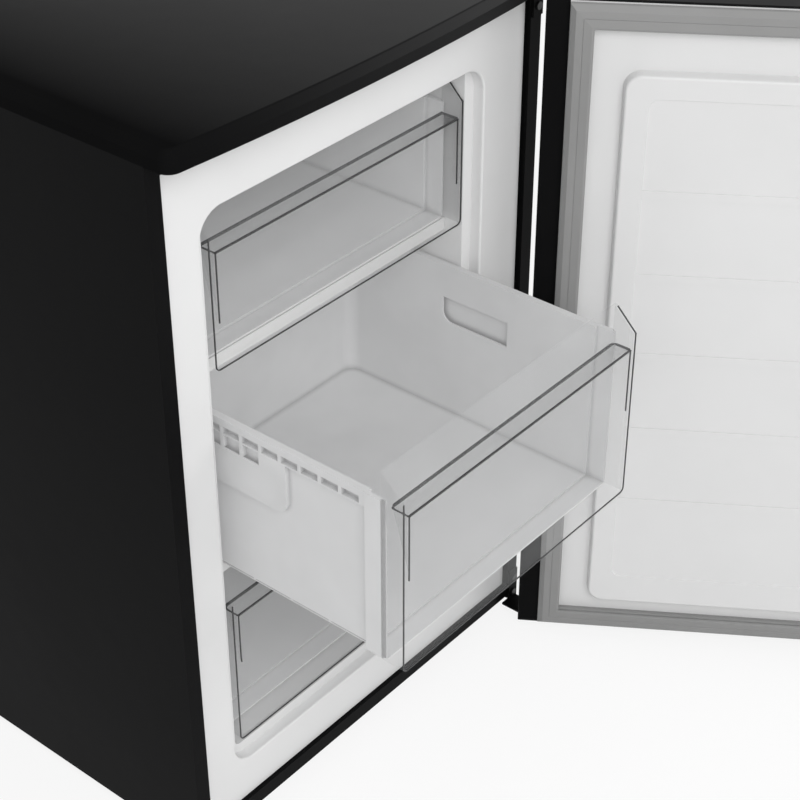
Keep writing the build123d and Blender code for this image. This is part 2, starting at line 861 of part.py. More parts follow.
with BuildPart() as compressor_grommets:
    with Locations((compressor_x, compressor_y, 0)):
        with GridLocations(mount_pitch_x, mount_pitch_y, 2, 2):
            with Locations((0, 0, grommet_low_z + grommet_disc / 2)):
                Cylinder(grommet_radius, grommet_disc)
            with Locations((0, 0, plate_low_z + compressor_plate / 2)):
                Cylinder(grommet_waist, compressor_plate)
            with Locations((0, 0, plate_top_z + grommet_cap / 2)):
                Cylinder(grommet_radius, grommet_cap)
            with Locations((0, 0, plate_low_z)):
                Cylinder(bolt_radius + fit / 2, 4 * grommet_disc, mode=Mode.SUBTRACT)
finish(compressor_grommets, "compressor_grommets")

# Bolts come up through the rail and the grommets, with a nut on top of each
nut_low_z = plate_top_z + grommet_cap
with BuildPart() as compressor_bolts:
    with Locations((compressor_x, compressor_y, 0)):
        with GridLocations(mount_pitch_x, mount_pitch_y, 2, 2):
            with Locations((0, 0, side_foot_gap - bolt_head_height / 2)):
                Cylinder(bolt_head_radius, bolt_head_height)
            with Locations((0, 0, (side_foot_gap + nut_low_z + bolt_head_height + bolt_tip) / 2)):
                Cylinder(bolt_radius, nut_low_z + bolt_head_height + bolt_tip - side_foot_gap)
finish(compressor_bolts, "compressor_bolts")

with BuildPart() as compressor_nuts:
    with BuildSketch(Plane.XY.offset(nut_low_z)):
        with Locations((compressor_x, compressor_y)):
            with GridLocations(mount_pitch_x, mount_pitch_y, 2, 2):
                RegularPolygon(bolt_head_radius, 6)
                Circle(bolt_radius + running_clearance, mode=Mode.SUBTRACT)
    extrude(amount=bolt_head_height)
finish(compressor_nuts, "compressor_nuts")

with BuildPart() as relay_cover:
    shell_x = compressor_x - compressor_length / 2 - compressor_band
    block(
        (shell_x - seat_gap - relay_depth, shell_x - seat_gap),
        (compressor_y - relay_width / 2, compressor_y + relay_width / 2),
        (plate_top_z + relay_lift, plate_top_z + relay_lift + relay_height),
    )
    fillet(relay_cover.edges().filter_by(Axis.X), relay_round)
    fillet(relay_cover.faces().sort_by(Axis.X)[0].edges(), relay_round / 2)
finish(relay_cover, "relay_cover")

# Suction tube: from the compressor up into the foam above the bay
suction_start = (stub_end_x + weld_gap, compressor_y + stub_shift, suction_z)
suction_turn = (stub_end_x + suction_reach, compressor_y + stub_shift, suction_z)
suction_end = (stub_end_x + suction_reach, compressor_y + stub_shift, bay_height - bay_roof_gap)
suction_tube = pipe([suction_start, suction_turn, suction_end], pipe_bend, pipe_radius)
finish(suction_tube, "suction_tube")

# Discharge tube: from the compressor out of the bay to the condenser's riser
discharge_y = compressor_y - stub_shift
riser_foot = (condenser_inlet_x, condenser_y, riser_foot_z)
discharge_tube = pipe(
    [
        (stub_end_x + weld_gap, discharge_y, discharge_z),
        (discharge_turn_x, discharge_y, discharge_z),
        (discharge_turn_x, discharge_y, discharge_top_z),
        (condenser_inlet_x, condenser_y, discharge_top_z),
        (condenser_inlet_x, condenser_y, riser_foot_z - weld_gap),
    ],
    pipe_bend,
    condenser_tube_radius,
)
finish(discharge_tube, "discharge_tube")

# Condenser: one tube that rises at the right, winds down in level runs and ends above the dryer
left_x = -condenser_half_width
route = [riser_foot, (condenser_inlet_x, condenser_y, condenser_top_z)]
for run in range(condenser_runs):
    run_z = condenser_top_z - run * condenser_run_pitch
    near, far = (condenser_half_width, left_x) if run % 2 == 0 else (left_x, condenser_half_width)
    if run > 0:
        route.append((near, condenser_y, run_z))
    route.append((far, condenser_y, run_z))
route.append((left_x, condenser_y, dryer_bend_z))
route.append((left_x, dryer_y, dryer_bend_z - dryer_bend_drop))
route.append((left_x, dryer_y, dryer_top_z + weld_gap))
condenser_coil = pipe(route, condenser_bend, condenser_tube_radius)
finish(condenser_coil, "condenser_coil")

with BuildPart() as condenser_wires:
    wire_offset = condenser_tube_radius + condenser_wire_radius + weld_gap
    wire_length = condenser_top_z - condenser_low_z + 2 * condenser_wire_overhang
    with Locations((0, condenser_y, (condenser_top_z + condenser_low_z) / 2)):
        with GridLocations(condenser_wire_pitch, 2 * wire_offset, wire_count, 2):
            Cylinder(condenser_wire_radius, wire_length)
finish(condenser_wires, "condenser_wires")

# Plastic brackets: jaws round a run of the condenser, and an ear for the screw
with BuildPart() as condenser_brackets:
    slot_half = condenser_tube_radius + fit
    for x in (-bracket_x, bracket_x):
        for z in bracket_zs:
            across = (x - bracket_width / 2, x + bracket_width / 2)
            reach = (back_y, condenser_y + condenser_tube_radius)
            block(across, reach, (z - slot_half - bracket_jaw, z + slot_half + bracket_jaw))
            slot_y = (condenser_y - slot_half, condenser_y + 2 * slot_half)
            block(across, slot_y, (z - slot_half, z + slot_half), Mode.SUBTRACT)
            ear_z = (z - 2 * bracket_ear + slot_half, z - slot_half - bracket_jaw)
            block(across, (back_y, back_y + bracket_ear_thickness), ear_z)
    drill(bracket_seats, screw_hole, bracket_ear_thickness)
finish(condenser_brackets, "condenser_brackets")

with BuildPart() as rear_screws:
    for seat in rear_seats:
        pan_screw(seat, screw_length - fit)
finish(rear_screws, "rear_screws")

# Filter dryer: a copper cartridge with a neck at each end
with BuildPart() as filter_dryer:
    with BuildSketch(Plane.XZ):
        with BuildLine():
            Polyline(
                (0, dryer_top_z),
                (dryer_neck_radius, dryer_top_z),
                (dryer_neck_radius, dryer_top_z - dryer_cone),
                (dryer_radius, dryer_top_z - 2 * dryer_cone),
                (dryer_radius, dryer_top_z - dryer_length + 2 * dryer_cone),
                (dryer_neck_radius, dryer_top_z - dryer_length + dryer_cone),
                (dryer_neck_radius, dryer_top_z - dryer_length),
                (0, dryer_top_z - dryer_length),
                close=True,
            )
        make_face()
    revolve(axis=Axis.Z)
filter_dryer.part = Pos(left_x, dryer_y, 0) * filter_dryer.part
finish(filter_dryer, "filter_dryer")

# Capillary tube: from the dryer up into the foam above the bay
capillary_low_z = dryer_top_z - dryer_length - capillary_drop
capillary_tube = pipe(
    [
        (left_x, dryer_y, dryer_top_z - dryer_length - weld_gap),
        (left_x, dryer_y, capillary_low_z),
        (left_x, compressor_y, capillary_low_z),
        (left_x, compressor_y, bay_height - bay_roof_gap),
    ],
    capillary_bend,
    capillary_radius,
)
finish(capillary_tube, "capillary_tube")

# Thermostat housing on the back panel, with a bore for the knob's stem
housing_front_y = back_y + thermostat_depth
with BuildPart() as thermostat_housing:
    half_box = thermostat_width / 2
    box_z = (thermostat_z - thermostat_height / 2, thermostat_z + thermostat_height / 2)
    block((thermostat_x - half_box, thermostat_x + half_box), (back_y, housing_front_y), box_z)
    fillet(thermostat_housing.edges().filter_by(Axis.Y), thermostat_round)
    fillet(thermostat_housing.faces().sort_by(Axis.Y)[-1].edges(), thermostat_wall)
    ear_half = half_box + thermostat_ear_width
    ear_z = (thermostat_z - thermostat_ear_width / 2, thermostat_z + thermostat_ear_width / 2)
    block((thermostat_x - ear_half, thermostat_x + ear_half), (back_y, back_y + thermostat_ear), ear_z)
    drill(thermostat_seats, screw_hole, thermostat_ear)
    stem_plane = Plane(origin=(thermostat_x, housing_front_y, thermostat_z), z_dir=(0, 1, 0))
    peg(stem_plane, knob_stem_radius + running_clearance, -knob_stem_length - seat_gap, Mode.SUBTRACT)
finish(thermostat_housing, "thermostat_housing")

# Thermostat knob: a dial with a raised grip bar and a stem
with BuildPart() as thermostat_knob:
    knob_plane = stem_plane.offset(seat_gap)
    peg(knob_plane, knob_radius, knob_height / 2)
    fillet(thermostat_knob.faces().sort_by(Axis.Y)[-1].edges(), knob_round)
    with BuildSketch(knob_plane):
        RectangleRounded(knob_grip, 2 * knob_radius - knob_grip, knob_grip / 2 - knob_round)
    extrude(amount=knob_height)
    peg(knob_plane, knob_stem_radius, -knob_stem_length - seat_gap)
finish(thermostat_knob, "thermostat_knob")

# Cord gland in the rail's lip
with BuildPart() as cord_gland:
    peg(gland_plane, gland_radius, -rail_sheet - gland_flange)
    peg(gland_plane, gland_flange_radius, gland_flange)
    peg(gland_plane.offset(gland_flange), gland_radius - 1, gland_flange)
    peg(gland_plane.offset(2 * gland_flange), gland_bore, -4 * gland_flange, Mode.SUBTRACT)
finish(cord_gland, "cord_gland")

# Evaporator shelves: the drawers above them slide on their wires
run_front_y = ledge_y + shelf_first_run
run_back_y = cavity_back_y - shelf_last_run
shelf_run_pitch = (run_back_y - run_front_y) / (shelf_runs - 1)
bend_left_x = cavity_left + shelf_left_margin
bend_right_x = cavity_right - shelf_right_margin
feed_x = cavity_left + shelf_feed_margin
tube_end_y = cavity_back_y - shelf_end_gap
top_bin_floor_z = top_front_low_z + bin_floor_lift
middle_bin_floor_z = middle_front_low_z + bin_floor_lift
shelf_bend = (shelf_run_pitch - shelf_bend_straight) / 2


def shelf_wire_z(bin_floor_z):
    """Height of a shelf's wires under the bin that slides on them."""
    return bin_floor_z - shelf_gap - wire_radius


def shelf_tube_z(bin_floor_z):
    """Height of a shelf's tube under its wires."""
    return shelf_wire_z(bin_floor_z) - wire_radius - weld_gap - tube_radius


def make_evaporator_coil(bin_floor_z):
    """One shelf's tube: forward along the left wall, then to and fro towards the back wall."""
    z = shelf_tube_z(bin_floor_z)
    route = [(feed_x, tube_end_y, z), (feed_x, run_front_y, z)]
    for number in range(shelf_runs - 1):
        bend_x = bend_right_x if number % 2 == 0 else bend_left_x
        run_y = run_front_y + number * shelf_run_pitch
        route.append((bend_x, run_y, z))
        route.append((bend_x, run_y + shelf_run_pitch, z))
    route.append((bend_right_x, run_back_y, z))
    route.append((bend_right_x, tube_end_y, z))
    return pipe(route, shelf_bend, tube_radius)


upper_evaporator_coil = make_evaporator_coil(top_bin_floor_z)
finish(upper_evaporator_coil, "upper_evaporator_coil")
lower_evaporator_coil = make_evaporator_coil(middle_bin_floor_z)
finish(lower_evaporator_coil, "lower_evaporator_coil")

with BuildPart() as evaporator_wires:
    for bin_floor_z in (top_bin_floor_z, middle_bin_floor_z):
        with Locations(
            ((bend_left_x + bend_right_x) / 2, (run_front_y + run_back_y) / 2, shelf_wire_z(bin_floor_z))
        ):
            with GridLocations(wire_pitch, 1, shelf_wires, 1):
                Cylinder(wire_radius, run_back_y - run_front_y + 2 * wire_overhang, rotation=(90, 0, 0))
finish(evaporator_wires, "evaporator_wires")

# Clips on the cavity's side walls, round the outer bends of each shelf
with BuildPart() as evaporator_clips:
    slot_half = tube_radius + fit
    for bin_floor_z in (top_bin_floor_z, middle_bin_floor_z):
        z = shelf_tube_z(bin_floor_z)
        clip_z = (z - slot_half - clip_wall, shelf_wire_z(bin_floor_z) + wire_radius)
        slot_z = (z - slot_half, z + slot_half)
        for bend in (0.5, shelf_runs - 2.5):
            clip_y = run_front_y + bend * shelf_run_pitch
            across = (clip_y - clip_width / 2, clip_y + clip_width / 2)
            block((bend_right_x - clip_reach, cavity_right), across, clip_z)
            block((bend_right_x - clip_reach, bend_right_x + slot_half), across, slot_z, Mode.SUBTRACT)
        for bend in (1.5, shelf_runs - 1.5):
            clip_y = run_front_y + bend * shelf_run_pitch
            across = (clip_y - clip_width / 2, clip_y + clip_width / 2)
            block((cavity_left, bend_left_x + clip_reach), across, clip_z)
            block((bend_left_x - slot_half, bend_left_x + clip_reach), across, slot_z, Mode.SUBTRACT)
            feed_hole = Plane(origin=(feed_x, across[0], z), z_dir=(0, 1, 0))
            peg(feed_hole, slot_half, clip_width, Mode.SUBTRACT)
finish(evaporator_clips, "evaporator_clips")

# A trim across the cavity in front of each shelf
with BuildPart() as shelf_trims:
    trim_y = (ledge_y + trim_setback, ledge_y + trim_setback + trim_depth)
    for front_low_z in (top_front_low_z, middle_front_low_z):
        trim_top_z = front_low_z - shelf_gap
        trim_x = (cavity_left + seat_gap, cavity_right - seat_gap)
        block(trim_x, trim_y, (trim_top_z - trim_height, trim_top_z))
finish(shelf_trims, "shelf_trims")


def door_face(n):
    """The upright plane at one depth in the door: sketch x runs to the free edge and sketch y is z."""
    origin = (axis_x + n * inward_x, axis_y + n * inward_y, 0)
    return Plane(origin=origin, x_dir=(free_x, free_y, 0), z_dir=(inward_x, inward_y, 0))


def door_plan(z):
    """The level plane through the door: sketch x runs to the free edge and sketch y to the outside."""
    return Plane(origin=(axis_x, axis_y, z), x_dir=(free_x, free_y, 0), z_dir=(0, 0, 1))


def door_block(u, n, z, mode=Mode.ADD):
    """A box in the door: along it from the axis, through it from the axis, and up."""
    with BuildSketch(door_face(n[0])) as section:
        with Locations(((u[0] + u[1]) / 2, (z[0] + z[1]) / 2)):
            Rectangle(u[1] - u[0], z[1] - z[0])
    extrude(section.sketch, amount=n[1] - n[0], mode=mode)


def door_section(z, inset, inner_n, inner_round):
    """The door's level section, set in from its skin, back to one inner depth."""
    with BuildSketch(door_plan(z)) as section:
        with Locations((door_mid_u, (door_front_n - inset - inner_n) / 2)):
            Rectangle(cabinet_width - 2 * inset, door_front_n - inset + inner_n)
        fillet(section.vertices().group_by(Axis.Y)[-1], door_edge_radius - inset)
        if inner_round > 0:
            fillet(section.vertices().group_by(Axis.Y)[0], inner_round)
    return section.sketch


# Door skin: one sheet round the front and both edges, folded in along the inner face
grip_u = (door_free_u - grip_from_free_edge - grip_width, door_free_u - grip_from_free_edge)
grip_z = (door_top_z - grip_from_top - grip_height, door_top_z - grip_from_top)
liner_u = (-hinge_from_edge + door_band + fit, door_free_u - door_band - fit)
with BuildPart() as door_skin:
    skin_height = skin_top_z - skin_low_z
    extrude(door_section(skin_low_z, 0, door_inner_n, door_fold_radius), amount=skin_height)
    inside = door_section(skin_low_z, door_sheet, door_inner_n - door_sheet, door_fold_radius - door_sheet)
    extrude(inside, amount=skin_height, mode=Mode.SUBTRACT)
    mouth_u = (liner_u[0] - fit, liner_u[1] + fit)
    door_block(mouth_u, (0, door_inner_n), (skin_low_z, skin_top_z), Mode.SUBTRACT)
    hole_u = (grip_u[0] - fit, grip_u[1] + fit)
    hole_z = (grip_z[0] - fit, grip_z[1] + fit)
    door_block(hole_u, (-door_front_n, -door_front_n + door_sheet), hole_z, Mode.SUBTRACT)
finish(door_skin, "door_skin")

# Door caps: a plate on each end of the skin, a skirt inside it and a boss for the hinge bush
cap_inset = door_sheet + fit
liner_back_n = door_inner_n - door_liner_wall
skirt_inner_n = liner_back_n - fit
bush_radius = hinge_pin_radius + running_clearance + bush_wall


def make_door_cap(plate_z, skirt_z):
    """A door cap between the given heights of its plate and of its skirt."""
    with BuildPart() as cap:
        extrude(door_section(plate_z, 0, door_inner_n, door_fold_radius), amount=cap_plate)
        extrude(door_section(skirt_z, cap_inset, skirt_inner_n, 0), amount=cap_wall_depth)
        hollow = door_section(skirt_z, cap_inset + cap_wall, skirt_inner_n - cap_wall, 0)
        extrude(hollow, amount=cap_wall_depth, mode=Mode.SUBTRACT)
        low_z = min(plate_z, skirt_z)
        high_z = low_z + cap_plate + cap_wall_depth
        post(axis_x, axis_y, (low_z, high_z), bush_radius + fit / 2 + boss_wall)
        post(axis_x, axis_y, (low_z, high_z), bush_radius + fit / 2, Mode.SUBTRACT)
    return cap


door_top_cap = make_door_cap(skin_top_z, skin_top_z - cap_wall_depth)
finish(door_top_cap, "door_top_cap")
door_bottom_cap = make_door_cap(door_bottom_z, skin_low_z)
finish(door_bottom_cap, "door_bottom_cap")

# Hinge bushes in the caps; the bottom one's flange carries the door on its bracket
with BuildPart() as top_hinge_bush:
    post(axis_x, axis_y, (door_top_z - bush_length, door_top_z), bush_radius)
    post(axis_x, axis_y, (door_top_z, door_top_z + top_bush_flange), bush_flange_radius)
    bore_z = (door_top_z - bush_length, door_top_z + top_bush_flange)
    post(axis_x, axis_y, bore_z, hinge_pin_radius + running_clearance, Mode.SUBTRACT)
finish(top_hinge_bush, "top_hinge_bush")

with BuildPart() as bottom_hinge_bush:
    post(axis_x, axis_y, (door_bottom_z, door_bottom_z + bush_length), bush_radius)
    post(axis_x, axis_y, (door_bottom_z - bottom_bush_flange, door_bottom_z), bush_flange_radius)
    bore_z = (door_bottom_z - bottom_bush_flange, door_bottom_z + bush_length)
    post(axis_x, axis_y, bore_z, hinge_pin_radius + running_clearance, Mode.SUBTRACT)
finish(bottom_hinge_bush, "bottom_hinge_bush")

# Door liner: a white sheet with a raised panel, a shallow field in it and level ridges
panel_u = (-hinge_from_edge + panel_side_margin, door_free_u - panel_side_margin)
panel_z = (panel_low_z, door_top_z - panel_top_margin)
panel_face_n = door_inner_n + panel_rise
hollow_face_n = panel_face_n - panel_recess - panel_skin


def panel_form(shrink, low_n, high_n):
    """The raised panel's tapered form, or its hollow when shrunk, between two depths."""
    spread = 2 * (panel_face_n - low_n) * tan(radians(panel_taper)) - 2 * shrink
    with BuildPart() as form:
        with BuildSketch(door_face(low_n)):
            with Locations((door_mid_u, (panel_z[0] + panel_z[1]) / 2)):
                wide = panel_u[1] - panel_u[0] + spread
                high = panel_z[1] - panel_z[0] + spread
                RectangleRounded(wide, high, panel_corner)
        extrude(amount=high_n - low_n, taper=panel_taper)
    return form


# The raised panel, with its front edge rounded
with BuildPart() as raised_panel:
    add(panel_form(0, door_inner_n, panel_face_n).part)
    panel_front = raised_panel.faces().sort_by(Axis(door_face(0).origin, door_face(0).z_dir))[-1]
    fillet(panel_front.edges(), panel_edge_round)

with BuildPart() as door_liner:
    door_block(liner_u, (liner_back_n, door_inner_n), (skin_low_z + fit, skin_top_z - fit))
    add(raised_panel.part)
    add(panel_form(panel_skin, liner_back_n, hollow_face_n).part, mode=Mode.SUBTRACT)
    field_u = (panel_u[0] + panel_recess_side, panel_u[1] - panel_recess_side)
    field_z = (panel_z[0] + panel_recess_low, panel_z[1] - panel_recess_side)
    with BuildSketch(door_face(panel_face_n)) as field:
        with Locations((door_mid_u, (field_z[0] + field_z[1]) / 2)):
            RectangleRounded(field_u[1] - field_u[0], field_z[1] - field_z[0], panel_recess_corner)
    extrude(field.sketch, amount=-panel_recess, taper=panel_recess_taper, mode=Mode.SUBTRACT)
    ridge_low_z = field_z[0] + ridge_low_margin
    ridge_pitch = (field_z[1] - ridge_top_margin - ridge_low_z) / (ridge_count - 1)
    for number in range(ridge_count):
        ridge_z = ridge_low_z + number * ridge_pitch
        ridge_n = (panel_face_n - panel_recess, panel_face_n - panel_recess + ridge_rise)
        door_block(field_u, ridge_n, (ridge_z - ridge_height / 2, ridge_z + ridge_height / 2))
finish(door_liner, "door_liner")

# Grip insert: a pocket set into the door's front, with a lip to pull on along its upper side
pocket_n = (-door_front_n, -door_front_n + grip_depth)
with BuildPart() as grip_insert:
    rim_u = (grip_u[0] - grip_flange, grip_u[1] + grip_flange)
    rim_z = (grip_z[0] - grip_flange, grip_z[1] + grip_flange)
    door_block(rim_u, (-door_front_n - grip_flange_thickness, -door_front_n), rim_z)
    door_block(grip_u, pocket_n, grip_z)
    inner_u = (grip_u[0] + grip_wall, grip_u[1] - grip_wall)
    inner_z = (grip_z[0] + grip_wall, grip_z[1] - grip_wall)
    door_block(inner_u, (pocket_n[0] + grip_wall, pocket_n[1] - grip_wall), inner_z, Mode.SUBTRACT)
    opening_n = (-door_front_n - grip_flange_thickness, pocket_n[0] + grip_wall)
    door_block(inner_u, opening_n, (inner_z[0], inner_z[1] - grip_lip), Mode.SUBTRACT)
finish(grip_insert, "grip_insert")

# Foam inside the door, between the caps' skirts
with BuildPart() as door_insulation:
    foam_low_z = skin_low_z + cap_wall_depth + fit
    foam_height = skin_top_z - cap_wall_depth - fit - foam_low_z
    extrude(door_section(foam_low_z, cap_inset, skirt_inner_n, 0), amount=foam_height)
    add(panel_form(panel_skin + fit, skirt_inner_n, hollow_face_n - fit).part)
    hole_n = (-door_front_n, pocket_n[1] + fit)
    door_block(hole_u, hole_n, hole_z, Mode.SUBTRACT)
finish(door_insulation, "door_insulation")

# Door gasket: a hollow frame, open towards the liner, with a magnet strip along each side
gasket_u = (-hinge_from_edge + door_band, door_free_u - door_band)
gasket_z = (door_bottom_z + gasket_from_edge, door_top_z - gasket_from_edge)
gasket_back_n = door_inner_n + fit


def gasket_ring(n, inset, width, mode=Mode.ADD):
    """A rectangular ring round the door's inner face, set in from the gasket's outline."""
    with BuildSketch(door_face(n[0])) as ring:
        with Locations((door_mid_u, (gasket_z[0] + gasket_z[1]) / 2)):
            wide = gasket_u[1] - gasket_u[0] - 2 * inset
            high = gasket_z[1] - gasket_z[0] - 2 * inset
            Rectangle(wide, high)
            Rectangle(wide - 2 * width, high - 2 * width, mode=Mode.SUBTRACT)
    extrude(ring.sketch, amount=n[1] - n[0], mode=mode)


with BuildPart() as door_gasket:
    gasket_ring((gasket_back_n, gasket_n), 0, gasket_width)
    sealing_face = door_gasket.faces().sort_by(Axis(door_face(0).origin, door_face(0).z_dir))[-1]
    fillet(sealing_face.edges(), gasket_lip_round)
    groove_n = (gasket_back_n, gasket_n - gasket_wall)
    gasket_ring(groove_n, gasket_wall, gasket_width - 2 * gasket_wall, Mode.SUBTRACT)
finish(door_gasket, "door_gasket")

with BuildPart() as gasket_magnets:
    magnet_inset = (gasket_width - magnet_width) / 2
    magnet_n = (groove_n[1] - fit - magnet_thickness, groove_n[1] - fit)
    outer_u = (gasket_u[0] + magnet_inset, gasket_u[1] - magnet_inset)
    outer_z = (gasket_z[0] + magnet_inset, gasket_z[1] - magnet_inset)
    door_block((outer_u[0], outer_u[0] + magnet_width), magnet_n, outer_z)
    door_block((outer_u[1] - magnet_width, outer_u[1]), magnet_n, outer_z)
    between_u = (outer_u[0] + magnet_width + seat_gap, outer_u[1] - magnet_width - seat_gap)
    door_block(between_u, magnet_n, (outer_z[0], outer_z[0] + magnet_width))
    door_block(between_u, magnet_n, (outer_z[1] - magnet_width, outer_z[1]))
finish(gasket_magnets, "gasket_magnets")


# Drawers
front_x = (cavity_left + drawer_side_gap_left, cavity_right - drawer_side_gap_right)
bin_x = (front_x[0] + bin_inset, front_x[1] - bin_inset)
pull_lean = atan2(pull_depth, pull_height)
bin_setback = pull_depth + front_wall / cos(pull_lean) + front_wall * tan(pull_lean) + bin_front_gap
front_lean = atan2(front_slant_run, front_slant_rise)


def pull_form(face_y, pull_z, grow):
    """The finger pull's hollow, or its outer skin when grown by the wall and cut off at the plate."""
    shift = grow / cos(pull_lean)
    width = front_x[1] - front_x[0] - 2 * pull_inset + 2 * grow
    with BuildPart() as form:
        with BuildSketch(Plane.YZ.offset((front_x[0] + front_x[1] - width) / 2)):
            with BuildLine():
                Polyline(
                    (face_y - pull_depth, pull_z + grow),
                    (face_y + pull_depth + shift + grow * tan(pull_lean), pull_z + grow),
                    (face_y - pull_depth, pull_z - 2 * pull_height - shift / tan(pull_lean)),
                    close=True,
                )
            make_face()
        extrude(amount=width)
        slant = form.faces().sort_by(Axis.Z)[0]
        fillet(slant.edges().filter_by(Axis.X, reverse=True), pull_corner + grow)
        if grow > 0:
            ahead = (face_y - 2 * pull_depth, face_y)
            block(front_x, ahead, (pull_z - 3 * pull_height, pull_z + pull_height), Mode.SUBTRACT)
    return form.part


def make_drawer_front(low_z, bend_z, face_y):
    """A clear drawer front: a plate that leans back above its bend, with end returns and a finger pull."""
    top_z = bend_z + front_slant_rise
    width = front_x[1] - front_x[0]
    edge_y = face_y + front_slant_run
    rear_y = edge_y + front_wall * cos(front_lean)
    with BuildPart() as front:
        with BuildSketch(Plane.YZ.offset(front_x[0])):
            with BuildLine():
                Polyline((face_y, low_z), (face_y, bend_z), (edge_y, top_z), (edge_y, low_z), close=True)
            make_face()
        extrude(amount=width)
        with BuildSketch(Plane.YZ.offset(front_x[0] + front_wall)):
            with BuildLine():
                Polyline(
                    (face_y + front_wall, low_z - front_wall),
                    (face_y + front_wall, bend_z - front_wall * tan(front_lean / 2)),
                    (rear_y, top_z - front_wall * sin(front_lean)),
                    (rear_y, low_z - front_wall),
                    close=True,
                )
            make_face()
        extrude(amount=width - 2 * front_wall, mode=Mode.SUBTRACT)
        with BuildSketch(facing(face_y)) as outline:
            with Locations(((front_x[0] + front_x[1]) / 2, (low_z + top_z) / 2)):
                Rectangle(width, top_z - low_z)
            fillet(outline.vertices().group_by(Axis.Y)[-1], front_corner)
            fillet(outline.vertices().group_by(Axis.Y)[0], front_low_corner)
        extrude(amount=-front_slant_run - 2 * front_wall, mode=Mode.INTERSECT)
        pull_z = bend_z - pull_below_bend
        add(pull_form(face_y, pull_z, front_wall))
        add(pull_form(face_y, pull_z, 0), mode=Mode.SUBTRACT)
    return front


def bin_plan(y, z, grow, corner):
    """A bin's level outline between two depths, grown at its sides and back, with round rear corners."""
    with BuildSketch(Plane.XY.offset(z)) as plan:
        with Locations(((bin_x[0] + bin_x[1]) / 2, (y[0] + y[1] + grow) / 2)):
            Rectangle(bin_x[1] - bin_x[0] + 2 * grow, y[1] - y[0] + grow)
        fillet(plan.vertices().group_by(Axis.Y)[-1], corner)
    return plan.sketch


def rim_sides():
    """For each side of a bin: its wall's outer face and the rim's outer edge."""
    return ((bin_x[0], bin_x[0] - bin_rim_out), (bin_x[1], bin_x[1] + bin_rim_out))


def cut_rim_slots(y, rim_z, hold_y):
    """Slots below the rim's band, and taller openings between them and the hand-hold."""
    row = y[1] - y[0] - slot_front_margin - slot_rear_margin + slot_rib
    slot_z = (rim_z - rim_skirt - slot_height, rim_z - rim_skirt)
    opening_z = (rim_z - hold_top_drop, slot_z[0] - slot_ledge)
    for number in range(floor(row / slot_pitch)):
        slot_y = y[0] + slot_front_margin + number * slot_pitch
        across = (slot_y, slot_y + slot_pitch - slot_rib)
        above_hold = across[0] > hold_y[0] + hold_shoulder and across[1] < hold_y[1]
        for side in rim_sides():
            block(sorted(side), across, slot_z, Mode.SUBTRACT)
            if above_hold:
                block(sorted(side), across, opening_z, Mode.SUBTRACT)


def cut_slits(y, floor_z):
    """The fine broken groove along the foot of each side."""
    slit_z = (floor_z + bin_slit_above, floor_z + bin_slit_above + bin_slit_height)
    first_y = y[0] + bin_collar_depth + bin_slit_bridge
    for number in range(floor((y[1] - bin_corner - first_y) / bin_slit_pitch)):
        slit_y = first_y + number * bin_slit_pitch
        across = (slit_y, slit_y + bin_slit_pitch - bin_slit_bridge)
        block((bin_x[0], bin_x[0] + bin_slit_depth), across, slit_z, Mode.SUBTRACT)
        block((bin_x[1] - bin_slit_depth, bin_x[1]), across, slit_z, Mode.SUBTRACT)


def scoop_form(wall_x, outward, hold_y, hold_z):
    """A thin scoop, open at its top, that stands out from a bin's side wall."""
    with BuildPart() as scoop:
        for inset, mode in ((0, Mode.ADD), (hold_wall, Mode.SUBTRACT)):
            with BuildSketch(Plane.YZ.offset(wall_x)) as shape:
                with Locations((sum(hold_y) / 2, (hold_z[0] + hold_z[1] + inset) / 2)):
                    Rectangle(hold_length - 2 * inset, hold_height - inset)
                fillet(shape.vertices().group_by(Axis.Y)[0], hold_corner - inset)
            extrude(shape.sketch, amount=outward * (bin_rim_out - inset), mode=mode)
    return scoop.part


def add_hand_holds(rim_z, hold_y):
    """A hand-hold on each side: a shallow scoop outside the wall and a window into it."""
    hold_z = (rim_z - hold_top_drop - hold_height, rim_z - hold_top_drop)
    for wall_x, edge_x in rim_sides():
        outward = 1 if edge_x > wall_x else -1
        add(scoop_form(wall_x, outward, hold_y, hold_z))
        with BuildSketch(Plane.YZ.offset(wall_x)) as window:
            with Locations((sum(hold_y) / 2 - window_shift, hold_z[0] + window_low + window_height / 2)):
                Rectangle(window_length, window_height)
            fillet(window.vertices().group_by(Axis.Y)[0].sort_by(Axis.X)[-1], window_corner)
        extrude(window.sketch, amount=-outward * bin_wall, mode=Mode.SUBTRACT)


def upright(x, y, z, corner):
    """A block with its two lower long edges rounded, in the piece being built."""
    with BuildSketch(facing(y[0])) as section:
        with Locations(((x[0] + x[1]) / 2, (z[0] + z[1]) / 2)):
            Rectangle(x[1] - x[0], z[1] - z[0])
        fillet(section.vertices().group_by(Axis.Y)[0], corner)
    extrude(section.sketch, amount=y[0] - y[1])


def add_collar(y, floor_z, rim_z, lip_y):
    """The wider collar round a bin's open front, with a lip that plugs in between the front's returns."""
    z = (floor_z - bin_collar_drop, rim_z)
    rear_y = y[0] + bin_collar_depth
    inset = front_wall + fit
    lip_x = (front_x[0] + inset, front_x[1] - inset)
    upright(front_x, (y[0], rear_y), z, front_low_corner)
    upright(lip_x, (lip_y, y[0] + bin_wall), z, front_low_corner)
    inner_x = (lip_x[0] + bin_wall, lip_x[1] - bin_wall)
    block(inner_x, (lip_y, rear_y - bin_wall), (z[0] + bin_wall, rim_z), Mode.SUBTRACT)


